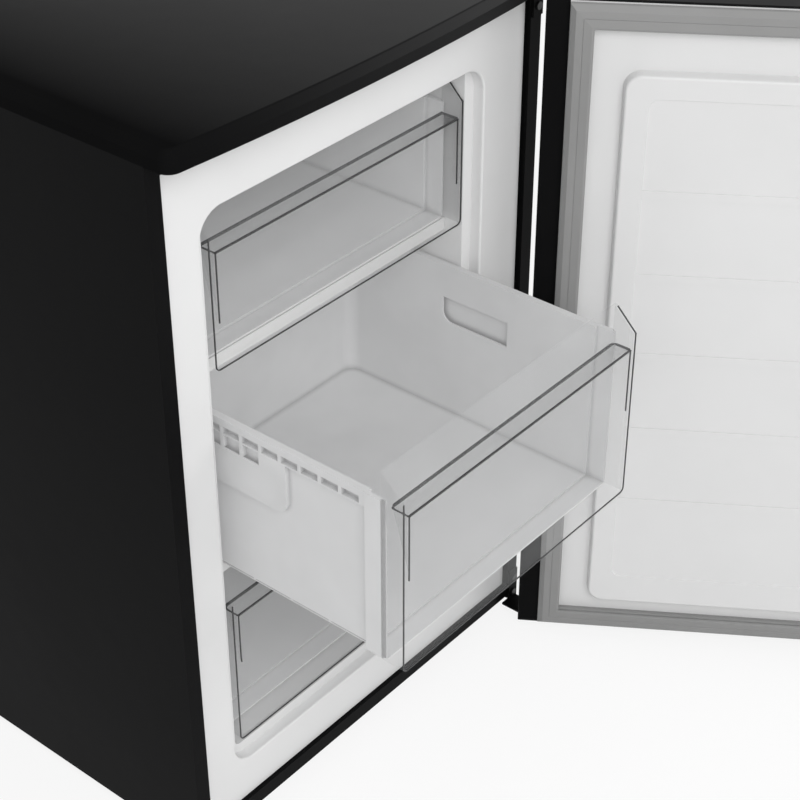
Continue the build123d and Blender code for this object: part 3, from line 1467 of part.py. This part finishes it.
def make_bin(y, floor_z, rim_z, lip_y):
    """A bin with a slotted rim and hand-holds; the clear front closes its open front."""
    middle_y = (y[0] + y[1]) / 2 + hold_shift
    hold_y = (middle_y - hold_length / 2, middle_y + hold_length / 2)
    ledge_z = rim_z - rim_skirt - slot_height - slot_ledge
    with BuildPart() as drawer_bin:
        extrude(bin_plan(y, floor_z, 0, bin_corner), amount=rim_z - floor_z)
        fillet(drawer_bin.faces().sort_by(Axis.Z)[0].edges(), bin_floor_round)
        rim_outline = bin_plan(y, ledge_z, bin_rim_out, bin_corner)
        extrude(rim_outline, amount=rim_z - ledge_z)
        for side in rim_sides():
            block(sorted(side), hold_y, (rim_z - hold_top_drop, ledge_z))
        band_low_z = rim_z - rim_skirt
        under_band = bin_plan(y, band_low_z, bin_rim_out - rim_skirt_wall, bin_corner)
        extrude(under_band, amount=rim_skirt - bin_rim_thickness, mode=Mode.SUBTRACT)
        wall_plan = bin_plan(y, band_low_z, 0, bin_corner)
        extrude(wall_plan, amount=rim_skirt - bin_rim_thickness)
        cut_rim_slots(y, rim_z, hold_y)
        add_hand_holds(rim_z, hold_y)
        cut_slits(y, floor_z)
        add_collar(y, floor_z, rim_z, lip_y)
        hollow = bin_plan(y, floor_z + bin_wall, -bin_wall, bin_corner - bin_wall)
        extrude(hollow, amount=rim_z - floor_z, mode=Mode.SUBTRACT)
    return drawer_bin


def add_runners(piece, y, floor_z):
    """A bin with a runner wall under each side, down to the cavity floor."""
    low_z = cavity_floor_z + bottom_bin_runner_lift
    with BuildPart() as raised:
        add(piece.part)
        for outer_x, inner_x in ((bin_x[0], bin_x[0] + bin_wall), (bin_x[1], bin_x[1] - bin_wall)):
            run_y = (y[0] + bin_corner, y[1] - bin_corner)
            block(sorted((outer_x, inner_x)), run_y, (low_z, floor_z + bin_floor_round))
    return raised


bin_back_y = cavity_back_y - bin_rear_gap
collar_setback = front_slant_run + seat_gap
top_front_bend_z = cavity_top_z - top_front_headroom - front_slant_rise
middle_front_bend_z = top_front_low_z - middle_bend_drop
bottom_front_low_z = cavity_floor_z + bottom_front_lift
bottom_front_bend_z = middle_front_low_z - bottom_bend_drop

# Top drawer, shut
top_bin_y = (ledge_y + collar_setback, bin_back_y)
top_bin = make_bin(top_bin_y, top_bin_floor_z, top_front_bend_z - bin_rim_drop, ledge_y + bin_setback)
finish(top_bin, "top_bin")
top_drawer_front = make_drawer_front(top_front_low_z, top_front_bend_z, ledge_y)
finish(top_drawer_front, "top_drawer_front")

# Middle drawer, pulled out as photographed
middle_face_y = ledge_y - drawer_travel_rest
middle_bin_y = (middle_face_y + collar_setback, bin_back_y - drawer_travel_rest)
middle_rim_z = middle_front_bend_z - bin_rim_drop
middle_bin = make_bin(middle_bin_y, middle_bin_floor_z, middle_rim_z, middle_face_y + bin_setback)
finish(middle_bin, "middle_bin")
middle_drawer_front = make_drawer_front(middle_front_low_z, middle_front_bend_z, middle_face_y)
finish(middle_drawer_front, "middle_drawer_front")

# Bottom drawer, shut; its bin is short, to clear the step over the compressor bay
bottom_bin_floor_z = bottom_front_low_z + bottom_bin_lift
bottom_bin_y = (ledge_y + collar_setback, step_y - bottom_bin_step_gap)
bottom_rim_z = bottom_front_bend_z - bin_rim_drop
bottom_bin = make_bin(bottom_bin_y, bottom_bin_floor_z, bottom_rim_z, ledge_y + bin_setback)
bottom_bin = add_runners(bottom_bin, bottom_bin_y, bottom_bin_floor_z)
finish(bottom_bin, "bottom_bin")
bottom_drawer_front = make_drawer_front(bottom_front_low_z, bottom_front_bend_z, ledge_y)
finish(bottom_drawer_front, "bottom_drawer_front")
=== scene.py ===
import json
from math import cos, radians, sin

import bmesh
import bpy
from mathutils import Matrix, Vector


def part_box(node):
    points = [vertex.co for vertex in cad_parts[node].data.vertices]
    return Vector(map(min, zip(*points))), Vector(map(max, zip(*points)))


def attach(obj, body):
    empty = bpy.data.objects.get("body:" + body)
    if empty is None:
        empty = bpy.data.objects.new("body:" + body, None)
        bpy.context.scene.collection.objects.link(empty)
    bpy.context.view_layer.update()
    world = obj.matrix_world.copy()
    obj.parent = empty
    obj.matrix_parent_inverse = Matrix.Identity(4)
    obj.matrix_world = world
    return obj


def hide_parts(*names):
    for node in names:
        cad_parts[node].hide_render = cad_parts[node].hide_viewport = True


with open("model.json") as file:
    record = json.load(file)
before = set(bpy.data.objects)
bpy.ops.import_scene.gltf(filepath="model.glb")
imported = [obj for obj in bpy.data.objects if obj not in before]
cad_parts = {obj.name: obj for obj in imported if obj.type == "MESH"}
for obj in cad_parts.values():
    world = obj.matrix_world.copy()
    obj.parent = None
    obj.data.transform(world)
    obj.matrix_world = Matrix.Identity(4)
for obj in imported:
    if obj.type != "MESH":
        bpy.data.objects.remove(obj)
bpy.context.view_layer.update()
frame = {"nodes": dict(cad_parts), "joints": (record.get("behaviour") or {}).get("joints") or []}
nodes = frame["nodes"]
scene = bpy.context.scene
MM = 0.001
WHITE = (1.0, 1.0, 1.0, 1.0)


# Camera, solved from the edges of the cabinet in the photograph
LENS_MM = 84.375
SENSOR_MM = 36.0
CAMERA_PLACE = (-1.1871, -1.2721, 1.5208)
VIEW_DIRECTION = (0.63565, 0.52464, -0.56630)
NEAREST_SEEN = 0.05
FARTHEST_SEEN = 60.0

camera = bpy.data.objects.new("photo_camera", bpy.data.cameras.new("photo_camera"))
camera.data.lens = LENS_MM
camera.data.sensor_width = SENSOR_MM
camera.data.clip_start = NEAREST_SEEN
camera.data.clip_end = FARTHEST_SEEN
camera.location = CAMERA_PLACE
camera.rotation_euler = Vector(VIEW_DIRECTION).to_track_quat("-Z", "Y").to_euler()
scene.collection.objects.link(camera)
scene.camera = camera
scene.view_settings.view_transform = "Standard"


# Material helpers
def tree_of(name):
    """A new material with its node tree and its Principled shader."""
    made = bpy.data.materials.new(name)
    made.use_nodes = True
    shader = made.node_tree.nodes["Principled BSDF"]
    return made, made.node_tree, shader


def join(tree, source, target):
    tree.links.new(source, target)


def object_points(tree):
    """The piece's own coordinates in metres."""
    return tree.nodes.new("ShaderNodeTexCoord").outputs["Object"]


def noise(tree, points, scale, detail=3.0, rough=0.5):
    texture = tree.nodes.new("ShaderNodeTexNoise")
    texture.inputs["Scale"].default_value = scale
    texture.inputs["Detail"].default_value = detail
    texture.inputs["Roughness"].default_value = rough
    join(tree, points, texture.inputs["Vector"])
    return texture.outputs["Fac"]


def spread(tree, value, low, high, start=0.3, end=0.7):
    """Maps a value that runs from start to end onto the range low to high."""
    node = tree.nodes.new("ShaderNodeMapRange")
    node.inputs["From Min"].default_value = start
    node.inputs["From Max"].default_value = end
    node.inputs["To Min"].default_value = low
    node.inputs["To Max"].default_value = high
    join(tree, value, node.inputs["Value"])
    return node.outputs["Result"]


def blend_colours(tree, value, first, second):
    """Blends two colours, each a tuple or another node's output."""
    node = tree.nodes.new("ShaderNodeMix")
    node.data_type = "RGBA"
    for socket, colour in (("A", first), ("B", second)):
        if isinstance(colour, tuple):
            node.inputs[socket].default_value = (*colour, 1.0)
        else:
            join(tree, colour, node.inputs[socket])
    join(tree, value, node.inputs["Factor"])
    return node.outputs["Result"]


def relief(tree, shader, height, depth, under=None):
    """Bump of that depth in metres on the shader, over another bump where one is given."""
    node = tree.nodes.new("ShaderNodeBump")
    node.inputs["Distance"].default_value = depth
    node.inputs["Strength"].default_value = 1.0
    join(tree, height, node.inputs["Height"])
    if under is not None:
        join(tree, under, node.inputs["Normal"])
    join(tree, node.outputs["Normal"], shader.inputs["Normal"])
    return node.outputs["Normal"]


def mix_shaders(tree, share, first, second, target):
    """Joins a mix of two shaders to the target. The share of the second is a number or a node's output."""
    node = tree.nodes.new("ShaderNodeMixShader")
    if isinstance(share, float):
        node.inputs["Fac"].default_value = share
    else:
        join(tree, share, node.inputs["Fac"])
    join(tree, first, node.inputs[1])
    join(tree, second, node.inputs[2])
    join(tree, node.outputs[0], target)


GRAIN_IN_ROUGHNESS = 0.35


def finish_of(name, dark, light, rough, grain, grain_depth, wave=0.0, wave_depth=0.0,
              metallic=0.0, specular=0.5, patch=4.0):
    """A procedural finish: two close colours in soft patches, grain and waviness in the relief,
    and a roughness that changes with both."""
    made, tree, shader = tree_of(name)
    shader.inputs["Metallic"].default_value = metallic
    shader.inputs["Specular IOR Level"].default_value = specular
    points = object_points(tree)
    patches = noise(tree, points, patch, detail=4.0, rough=0.6)
    fine = noise(tree, points, grain, detail=2.0)
    colour = blend_colours(tree, spread(tree, patches, 0.0, 1.0), dark, light)
    join(tree, colour, shader.inputs["Base Color"])
    mixed = tree.nodes.new("ShaderNodeMath")
    mixed.operation = "MULTIPLY_ADD"
    mixed.inputs[1].default_value = GRAIN_IN_ROUGHNESS
    join(tree, fine, mixed.inputs[0])
    join(tree, patches, mixed.inputs[2])
    uneven = spread(tree, mixed.outputs[0], *rough, start=0.45, end=0.9)
    join(tree, uneven, shader.inputs["Roughness"])
    normal = relief(tree, shader, fine, grain_depth)
    if wave:
        relief(tree, shader, noise(tree, points, wave, detail=1.0), wave_depth, normal)
    return made


# Painted and enamelled metal
# Painted sheen on the worktop: its specular level rises from nothing at the first X to full at the second,
# standing in for a reflection of light from the right
PAINTED_SHEEN_LEFT_X = -0.26
PAINTED_SHEEN_RIGHT_X = 0.12
PAINTED_SHEEN_LEVEL = 0.072


def worktop_finish():
    """The worktop's black, with a painted sheen that fades towards its left end."""
    made = finish_of(
        "black_worktop",
        dark=(0.0048, 0.0048, 0.005),
        light=(0.0070, 0.0070, 0.0072),
        rough=(0.24, 0.36),
        grain=1100.0,
        grain_depth=0.05 * MM,
        wave=22.0,
        wave_depth=0.2 * MM,
        specular=0.05,
    )
    tree = made.node_tree
    place = tree.nodes.new("ShaderNodeSeparateXYZ")
    join(tree, object_points(tree), place.inputs["Vector"])
    # Painted sheen: the specular level follows the worktop's X
    sheen = spread(tree, place.outputs["X"], 0.0, PAINTED_SHEEN_LEVEL, start=PAINTED_SHEEN_LEFT_X, end=PAINTED_SHEEN_RIGHT_X)
    join(tree, sheen, tree.nodes["Principled BSDF"].inputs["Specular IOR Level"])
    return made


black_top = worktop_finish()
black_sheet = finish_of(
    "black_painted_sheet",
    dark=(0.0040, 0.0040, 0.0042),
    light=(0.0058, 0.0058, 0.0060),
    rough=(0.34, 0.46),
    grain=1400.0,
    grain_depth=0.04 * MM,
    wave=30.0,
    wave_depth=0.2 * MM,
    specular=0.022,
)
black_enamel = finish_of(
    "black_enamel",
    dark=(0.006, 0.006, 0.0065),
    light=(0.011, 0.011, 0.0115),
    rough=(0.28, 0.42),
    grain=500.0,
    grain_depth=0.08 * MM,
    wave=60.0,
    wave_depth=0.1 * MM,
    specular=0.35,
)


# Bare metal
zinc_sheet = finish_of(
    "zinc_coated_sheet",
    dark=(0.52, 0.53, 0.55),
    light=(0.68, 0.69, 0.70),
    rough=(0.28, 0.48),
    grain=260.0,
    grain_depth=0.03 * MM,
    metallic=1.0,
    patch=34.0,
)
zinc_screw = finish_of(
    "zinc_plated_steel",
    dark=(0.55, 0.55, 0.53),
    light=(0.70, 0.70, 0.67),
    rough=(0.24, 0.38),
    grain=1800.0,
    grain_depth=0.02 * MM,
    metallic=1.0,
    patch=60.0,
)
copper_tube = finish_of(
    "drawn_copper",
    dark=(0.62, 0.28, 0.17),
    light=(0.80, 0.42, 0.28),
    rough=(0.22, 0.40),
    grain=900.0,
    grain_depth=0.03 * MM,
    metallic=1.0,
    patch=24.0,
)


# Mouldings, rubber and foam
black_moulding = finish_of(
    "black_moulding",
    dark=(0.0055, 0.0055, 0.0058),
    light=(0.0085, 0.0085, 0.0088),
    rough=(0.42, 0.56),
    grain=900.0,
    grain_depth=0.08 * MM,
    specular=0.08,
)
grey_moulding = finish_of(
    "grey_moulding",
    dark=(0.30, 0.30, 0.31),
    light=(0.36, 0.36, 0.37),
    rough=(0.38, 0.5),
    grain=900.0,
    grain_depth=0.06 * MM,
    specular=0.4,
)
white_sheet = finish_of(
    "white_liner_sheet",
    dark=(0.69, 0.69, 0.69),
    light=(0.725, 0.725, 0.725),
    rough=(0.30, 0.42),
    grain=700.0,
    grain_depth=0.03 * MM,
    wave=14.0,
    wave_depth=0.4 * MM,
    specular=0.4,
)
white_moulding = finish_of(
    "white_moulding",
    dark=(0.66, 0.66, 0.655),
    light=(0.72, 0.72, 0.715),
    rough=(0.36, 0.48),
    grain=900.0,
    grain_depth=0.05 * MM,
    specular=0.4,
)
coated_tube = finish_of(
    "white_coated_tube",
    dark=(0.56, 0.57, 0.58),
    light=(0.64, 0.65, 0.66),
    rough=(0.34, 0.46),
    grain=800.0,
    grain_depth=0.06 * MM,
    specular=0.4,
    patch=20.0,
)
soft_rubber = finish_of(
    "black_rubber",
    dark=(0.012, 0.012, 0.012),
    light=(0.022, 0.022, 0.022),
    rough=(0.62, 0.8),
    grain=1200.0,
    grain_depth=0.1 * MM,
    specular=0.3,
)
gasket_grey = finish_of(
    "gasket_vinyl",
    dark=(0.24, 0.24, 0.238),
    light=(0.29, 0.29, 0.288),
    rough=(0.48, 0.62),
    grain=700.0,
    grain_depth=0.05 * MM,
    specular=0.3,
)
pour_foam = finish_of(
    "poured_foam",
    dark=(0.62, 0.50, 0.28),
    light=(0.74, 0.62, 0.38),
    rough=(0.8, 0.95),
    grain=420.0,
    grain_depth=0.4 * MM,
    wave=60.0,
    wave_depth=0.6 * MM,
    specular=0.1,
    patch=16.0,
)


# Clear and frosted plastic
def clear_finish(name, tint, alpha, rough):
    made, tree, shader = tree_of(name)
    shader.inputs["Base Color"].default_value = (*tint, 1.0)
    shader.inputs["Specular IOR Level"].default_value = 0.5
    points = object_points(tree)
    flow = noise(tree, points, 9.0, detail=2.0)
    join(tree, spread(tree, flow, *rough), shader.inputs["Roughness"])
    join(tree, spread(tree, noise(tree, points, 5.0, detail=2.0), *alpha), shader.inputs["Alpha"])
    relief(tree, shader, flow, 0.2 * MM)
    return made


clear_plastic = clear_finish(
    "clear_plastic",
    tint=(0.50, 0.505, 0.51),
    alpha=(0.055, 0.09),
    rough=(0.05, 0.12),
)
# Painted shade: a near-black edge finish for the dark lines that refraction shows along the clear fronts'
# square edges
painted_edge_shade = clear_finish(
    "clear_plastic_painted_edge",
    tint=(0.006, 0.006, 0.007),
    alpha=(0.90, 0.99),
    rough=(0.25, 0.35),
)

# Painted shade in the milky plastic's narrow gaps, found by ambient occlusion
PAINTED_SHADE_REACH = 10.0 * MM
PAINTED_SHADE_SAMPLES = 8
PAINTED_CREVICE_SHADE = (0.42, 0.42, 0.425)
MILK_DARK = (0.76, 0.762, 0.765)
MILK_LIGHT = (0.82, 0.822, 0.825)
# Painted light: a faint white glow of the whole milky plastic
PAINTED_MILK_GLOW = 0.10
MILK_THROUGH = 0.27


def frosted_finish():
    """Milky plastic that lets light through, cloudy all over, with painted shade in its narrow gaps and a
    faint painted glow.
    """
    made, tree, shader = tree_of("frosted_plastic")
    shader.inputs["Specular IOR Level"].default_value = 0.4
    points = object_points(tree)
    cloud = noise(tree, points, 7.0, rough=0.55)
    clouded = blend_colours(tree, spread(tree, cloud, 0.0, 1.0), MILK_DARK, MILK_LIGHT)
    # Painted shade: the colour darkens towards grey where ambient occlusion finds narrow gaps and slits
    painted_shade_probe = tree.nodes.new("ShaderNodeAmbientOcclusion")
    painted_shade_probe.samples = PAINTED_SHADE_SAMPLES
    painted_shade_probe.inputs["Distance"].default_value = PAINTED_SHADE_REACH
    open_to_light = spread(tree, painted_shade_probe.outputs["AO"], 0.0, 1.0, start=0.25, end=0.85)
    milky_with_painted_shade = blend_colours(tree, open_to_light, PAINTED_CREVICE_SHADE, clouded)
    join(tree, milky_with_painted_shade, shader.inputs["Base Color"])
    join(tree, spread(tree, noise(tree, points, 60.0, detail=2.0), 0.36, 0.5), shader.inputs["Roughness"])
    join(tree, spread(tree, cloud, 0.86, 0.92), shader.inputs["Alpha"])
    # Painted light: the plastic glows faintly white
    shader.inputs["Emission Color"].default_value = WHITE
    shader.inputs["Emission Strength"].default_value = PAINTED_MILK_GLOW
    grained = relief(tree, shader, noise(tree, points, 1300.0, detail=2.0), 0.06 * MM)
    through = tree.nodes.new("ShaderNodeBsdfTranslucent")
    join(tree, milky_with_painted_shade, through.inputs["Color"])
    join(tree, grained, through.inputs["Normal"])
    surface = tree.nodes["Material Output"].inputs["Surface"]
    mix_shaders(tree, MILK_THROUGH, shader.outputs[0], through.outputs[0], surface)
    return made


frosted = frosted_finish()


# Which node has which finish
def put(material, *names):
    for name in names:
        slots = nodes[name].data.materials
        slots.clear()
        slots.append(material)


put(black_sheet, "cabinet_wrapper", "base_plate", "door_skin", "top_hinge_bracket", "bottom_hinge_bracket")
put(black_top, "worktop")
put(black_moulding, "door_top_cap", "door_bottom_cap", "grip_insert", "thermostat_housing", "relay_cover")
put(black_moulding, "front_left_foot", "front_right_foot")
put(black_enamel, "compressor", "condenser_coil", "condenser_wires", "hinge_screws")
put(grey_moulding, "thermostat_knob")
put(white_sheet, "inner_liner", "door_liner")
put(white_moulding, "top_hinge_bush", "bottom_hinge_bush", "condenser_brackets", "evaporator_clips")
put(white_moulding, "foot_inserts", "shelf_trims")
put(soft_rubber, "compressor_grommets", "cord_gland", "rear_feet", "gasket_magnets")
put(zinc_sheet, "back_panel", "compressor_rail", "hinge_backing_plates", "worktop_angles")
put(zinc_screw, "top_hinge_pin", "bottom_hinge_pin", "worktop_screws", "rear_screws")
put(zinc_screw, "compressor_bolts", "compressor_nuts")
put(coated_tube, "upper_evaporator_coil", "lower_evaporator_coil", "evaporator_wires")
put(copper_tube, "capillary_tube", "discharge_tube", "suction_tube", "filter_dryer")
put(pour_foam, "cabinet_insulation", "door_insulation")
put(clear_plastic, "top_drawer_front", "middle_drawer_front", "bottom_drawer_front")
put(frosted, "top_bin", "middle_bin", "bottom_bin")
put(gasket_grey, "door_gasket")


def own_piece(name, mesh, node, body):
    """A piece that stands for one CAD node, which it hides, and moves with its body."""
    piece = bpy.data.objects.new(name, mesh)
    scene.collection.objects.link(piece)
    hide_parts(node)
    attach(piece, body)
    return piece


# Clear fronts with painted dark edges, standing in for the dark lines that refraction shows along them
SLANT_RUN = 26.6 * MM
SLANT_RISE = 26.0 * MM
PULL_BELOW = 17.5 * MM
SHARP = radians(60)
ON_PLANE = 0.4 * MM
PULL_ROUNDING = 2.6 * MM
PLATE_DEPTH = 4.0 * MM
WELD_DISTANCE = 0.02 * MM
BROAD_HALF = 1.2 * MM
NARROW_HALF = 0.8 * MM
BAR_COVER = 0.07 * MM
BAR_PAST_END = 0.2 * MM
PLATE_FINISH = 0
# Finish index of the painted dark edge bars
PAINTED_EDGE_FINISH = 1


def dark_edge(edge, face_y, bend_z, pull_z):
    """True for the square edges that look dark through the plastic from refraction, which get a painted
    dark bar: the face's outline and the pull's.
    """
    if len(edge.link_faces) != 2 or edge.calc_face_angle() < SHARP:
        return False
    first, second = (v.co for v in edge.verts)
    if max(first.y, second.y) < face_y + ON_PLANE:
        return True
    if min(first.z, second.z) > bend_z - ON_PLANE:
        at_right = min(first.x, second.x) > 0
        return at_right and min(first.y, second.y) < face_y + SLANT_RUN - PLATE_DEPTH
    at_pull_top = max(abs(first.z - pull_z), abs(second.z - pull_z)) < PULL_ROUNDING
    return at_pull_top and max(first.y, second.y) > face_y + PLATE_DEPTH


def painted_edge_bar(work, first, second, outward, half):
    """A narrow bar of painted shade just inside one square edge, square in section and flush with its two
    sides.
    """
    along = (second - first).normalized()
    side = along.cross(outward).normalized()
    inward = outward * (half + BAR_COVER)
    rings = []
    for end, reach in ((first, -BAR_PAST_END), (second, BAR_PAST_END)):
        centre = end + along * reach - inward
        rings.append([work.verts.new(centre + arm * half) for arm in (outward, side, -outward, -side)])
    made = [work.faces.new(rings[0]), work.faces.new(list(reversed(rings[1])))]
    for turn in range(4):
        after = (turn + 1) % 4
        made.append(work.faces.new((rings[0][turn], rings[1][turn], rings[1][after], rings[0][after])))
    for face in made:
        face.material_index = PAINTED_EDGE_FINISH


def clear_front(node, body):
    """A drawer's clear front: the node's own form, with a painted dark bar along its sharp outer edges for
    the dark that refraction shows there.
    """
    low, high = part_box(node)
    face_y = low[1]
    bend_z = high[2] - SLANT_RISE
    pull_z = bend_z - PULL_BELOW
    work = bmesh.new()
    work.from_mesh(nodes[node].data)
    work.transform(nodes[node].matrix_world)
    bmesh.ops.remove_doubles(work, verts=work.verts, dist=WELD_DISTANCE)
    chosen = []
    for edge in work.edges:
        if dark_edge(edge, face_y, bend_z, pull_z):
            outward = (edge.link_faces[0].normal + edge.link_faces[1].normal).normalized()
            chosen.append((edge.verts[0].co.copy(), edge.verts[1].co.copy(), outward))
    for face in work.faces:
        face.material_index = PLATE_FINISH
        face.smooth = False
    for first, second, outward in chosen:
        middle = (first + second) / 2
        broad = abs(middle.z - pull_z) < ON_PLANE and middle.y < face_y + ON_PLANE
        painted_edge_bar(work, first, second, outward, BROAD_HALF if broad else NARROW_HALF)
    mesh = bpy.data.meshes.new(node + "_clear")
    work.to_mesh(mesh)
    work.free()
    mesh.materials.append(clear_plastic)
    mesh.materials.append(painted_edge_shade)
    own_piece(node + "_clear", mesh, node, body)


for level in ("top", "middle", "bottom"):
    clear_front(level + "_drawer_front", level + "_drawer")


# Door gasket, a frame of folded vinyl bellows
hinge = next(joint for joint in frame["joints"] if joint["name"] == "door_hinge")
AXIS_X, AXIS_Y = hinge["pos_m"][:2]
DOOR_ANGLE = radians(-hinge["range_deg"][0])

# The section in mm: distance in from the gasket's outline, and from the hinge axis towards the inner side
GASKET_SECTION = (
    (0.6, 22.2),
    (0.6, 23.6),
    (2.0, 24.4),
    (0.1, 25.6),
    (0.5, 27.6),
    (6.2, 32.4),
    (13.4, 33.0),
    (13.8, 32.6),
    (14.2, 33.1),
    (22.4, 34.15),
    (24.2, 33.7),
    (24.9, 32.4),
    (23.2, 28.4),
    (24.6, 26.4),
    (24.6, 22.2),
)


def door_point(along, inward, z):
    """A point of the open door: its distance along it from the axis, towards its inner side, and up."""
    x = AXIS_X - along * cos(DOOR_ANGLE) - inward * sin(DOOR_ANGLE)
    y = AXIS_Y - along * sin(DOOR_ANGLE) + inward * cos(DOOR_ANGLE)
    return (x, y, z)


def door_reach(node):
    """Least and greatest distance of a node along the open door from its axis."""
    points = [vertex.co for vertex in nodes[node].data.vertices]
    reach = [(AXIS_X - p.x) * cos(DOOR_ANGLE) + (AXIS_Y - p.y) * sin(DOOR_ANGLE) for p in points]
    return min(reach), max(reach)


def gasket_rings():
    """The four corners of each line of the section, carried round the door."""
    near, far = door_reach("door_gasket")
    low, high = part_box("door_gasket")
    corners = []
    for inset_mm, inward_mm in GASKET_SECTION:
        inset = inset_mm * MM
        inward = inward_mm * MM
        sides = ((near + inset, low[2] + inset), (far - inset, low[2] + inset),
                 (far - inset, high[2] - inset), (near + inset, high[2] - inset))
        corners += [door_point(along, inward, z) for along, z in sides]
    return corners


def door_gasket():
    faces = []
    count = len(GASKET_SECTION)
    for ring in range(count):
        here = 4 * ring
        following = 4 * ((ring + 1) % count)
        for corner in range(4):
            after = (corner + 1) % 4
            faces.append((here + corner, here + after, following + after, following + corner))
    mesh = bpy.data.meshes.new("gasket_bellows")
    mesh.from_pydata(gasket_rings(), [], faces)
    mesh.materials.append(gasket_grey)
    work = bmesh.new()
    work.from_mesh(mesh)
    bmesh.ops.recalc_face_normals(work, faces=work.faces)
    work.to_mesh(mesh)
    work.free()
    own_piece("gasket_bellows", mesh, "door_gasket", "door")


door_gasket()


# Studio
AMBIENT_STRENGTH = 0.60
FLOOR_HALF = 9.0
FLOOR_Z = -0.4 * MM
FLOOR_COLOUR = (0.82, 0.82, 0.82, 1.0)
FLOOR_WHITENESS = 0.86


def seen_rays(tree):
    """1 for camera, glossy and transmission rays, else 0."""
    path = tree.nodes.new("ShaderNodeLightPath")
    value = path.outputs["Is Camera Ray"]
    for other in ("Is Glossy Ray", "Is Transmission Ray"):
        most = tree.nodes.new("ShaderNodeMath")
        most.operation = "MAXIMUM"
        join(tree, value, most.inputs[0])
        join(tree, path.outputs[other], most.inputs[1])
        value = most.outputs[0]
    return value


def background(tree, strength):
    node = tree.nodes.new("ShaderNodeBackground")
    node.inputs["Color"].default_value = WHITE
    node.inputs["Strength"].default_value = strength
    return node.outputs[0]


def studio_world():
    """Soft white light from all round, seen as plain white."""
    world = bpy.data.worlds.new("studio_world")
    scene.world = world
    world.use_nodes = True
    tree = world.node_tree
    tree.nodes.clear()
    surface = tree.nodes.new("ShaderNodeOutputWorld").inputs["Surface"]
    mix_shaders(tree, seen_rays(tree), background(tree, AMBIENT_STRENGTH), background(tree, 1.0), surface)


def studio_floor():
    """A pale floor, seen nearly white, that keeps a trace of the shadow."""
    mesh = bpy.data.meshes.new("studio_floor")
    corners = [(-1, -1), (1, -1), (1, 1), (-1, 1)]
    mesh.from_pydata([(x * FLOOR_HALF, y * FLOOR_HALF, FLOOR_Z) for x, y in corners], [], [(0, 1, 2, 3)])
    floor = bpy.data.objects.new("studio_floor", mesh)
    scene.collection.objects.link(floor)
    pale, tree, shader = tree_of("pale_floor")
    shader.inputs["Base Color"].default_value = FLOOR_COLOUR
    shader.inputs["Roughness"].default_value = 0.8
    shader.inputs["Specular IOR Level"].default_value = 0.1
    glow = tree.nodes.new("ShaderNodeEmission")
    glow.inputs["Color"].default_value = WHITE
    part = tree.nodes.new("ShaderNodeMath")
    part.operation = "MULTIPLY"
    part.inputs[1].default_value = FLOOR_WHITENESS
    join(tree, seen_rays(tree), part.inputs[0])
    surface = tree.nodes["Material Output"].inputs["Surface"]
    mix_shaders(tree, part.outputs[0], shader.outputs[0], glow.outputs[0], surface)
    mesh.materials.append(pale)


def lamp(name, place, target, size, watts):
    light = bpy.data.lights.new(name, "AREA")
    light.shape = "RECTANGLE"
    light.size, light.size_y = size
    light.energy = watts
    made = bpy.data.objects.new(name, light)
    made.location = place
    made.rotation_euler = (Vector(target) - Vector(place)).to_track_quat("-Z", "Y").to_euler()
    scene.collection.objects.link(made)


studio_world()
studio_floor()
lamp("key_softbox", place=(-1.6, -2.6, 2.5), target=(0.1, -0.2, 0.4), size=(2.4, 2.0), watts=65.0)
lamp("fill_softbox", place=(2.4, -2.2, 1.6), target=(0.2, -0.2, 0.4), size=(1.8, 1.8), watts=27.0)
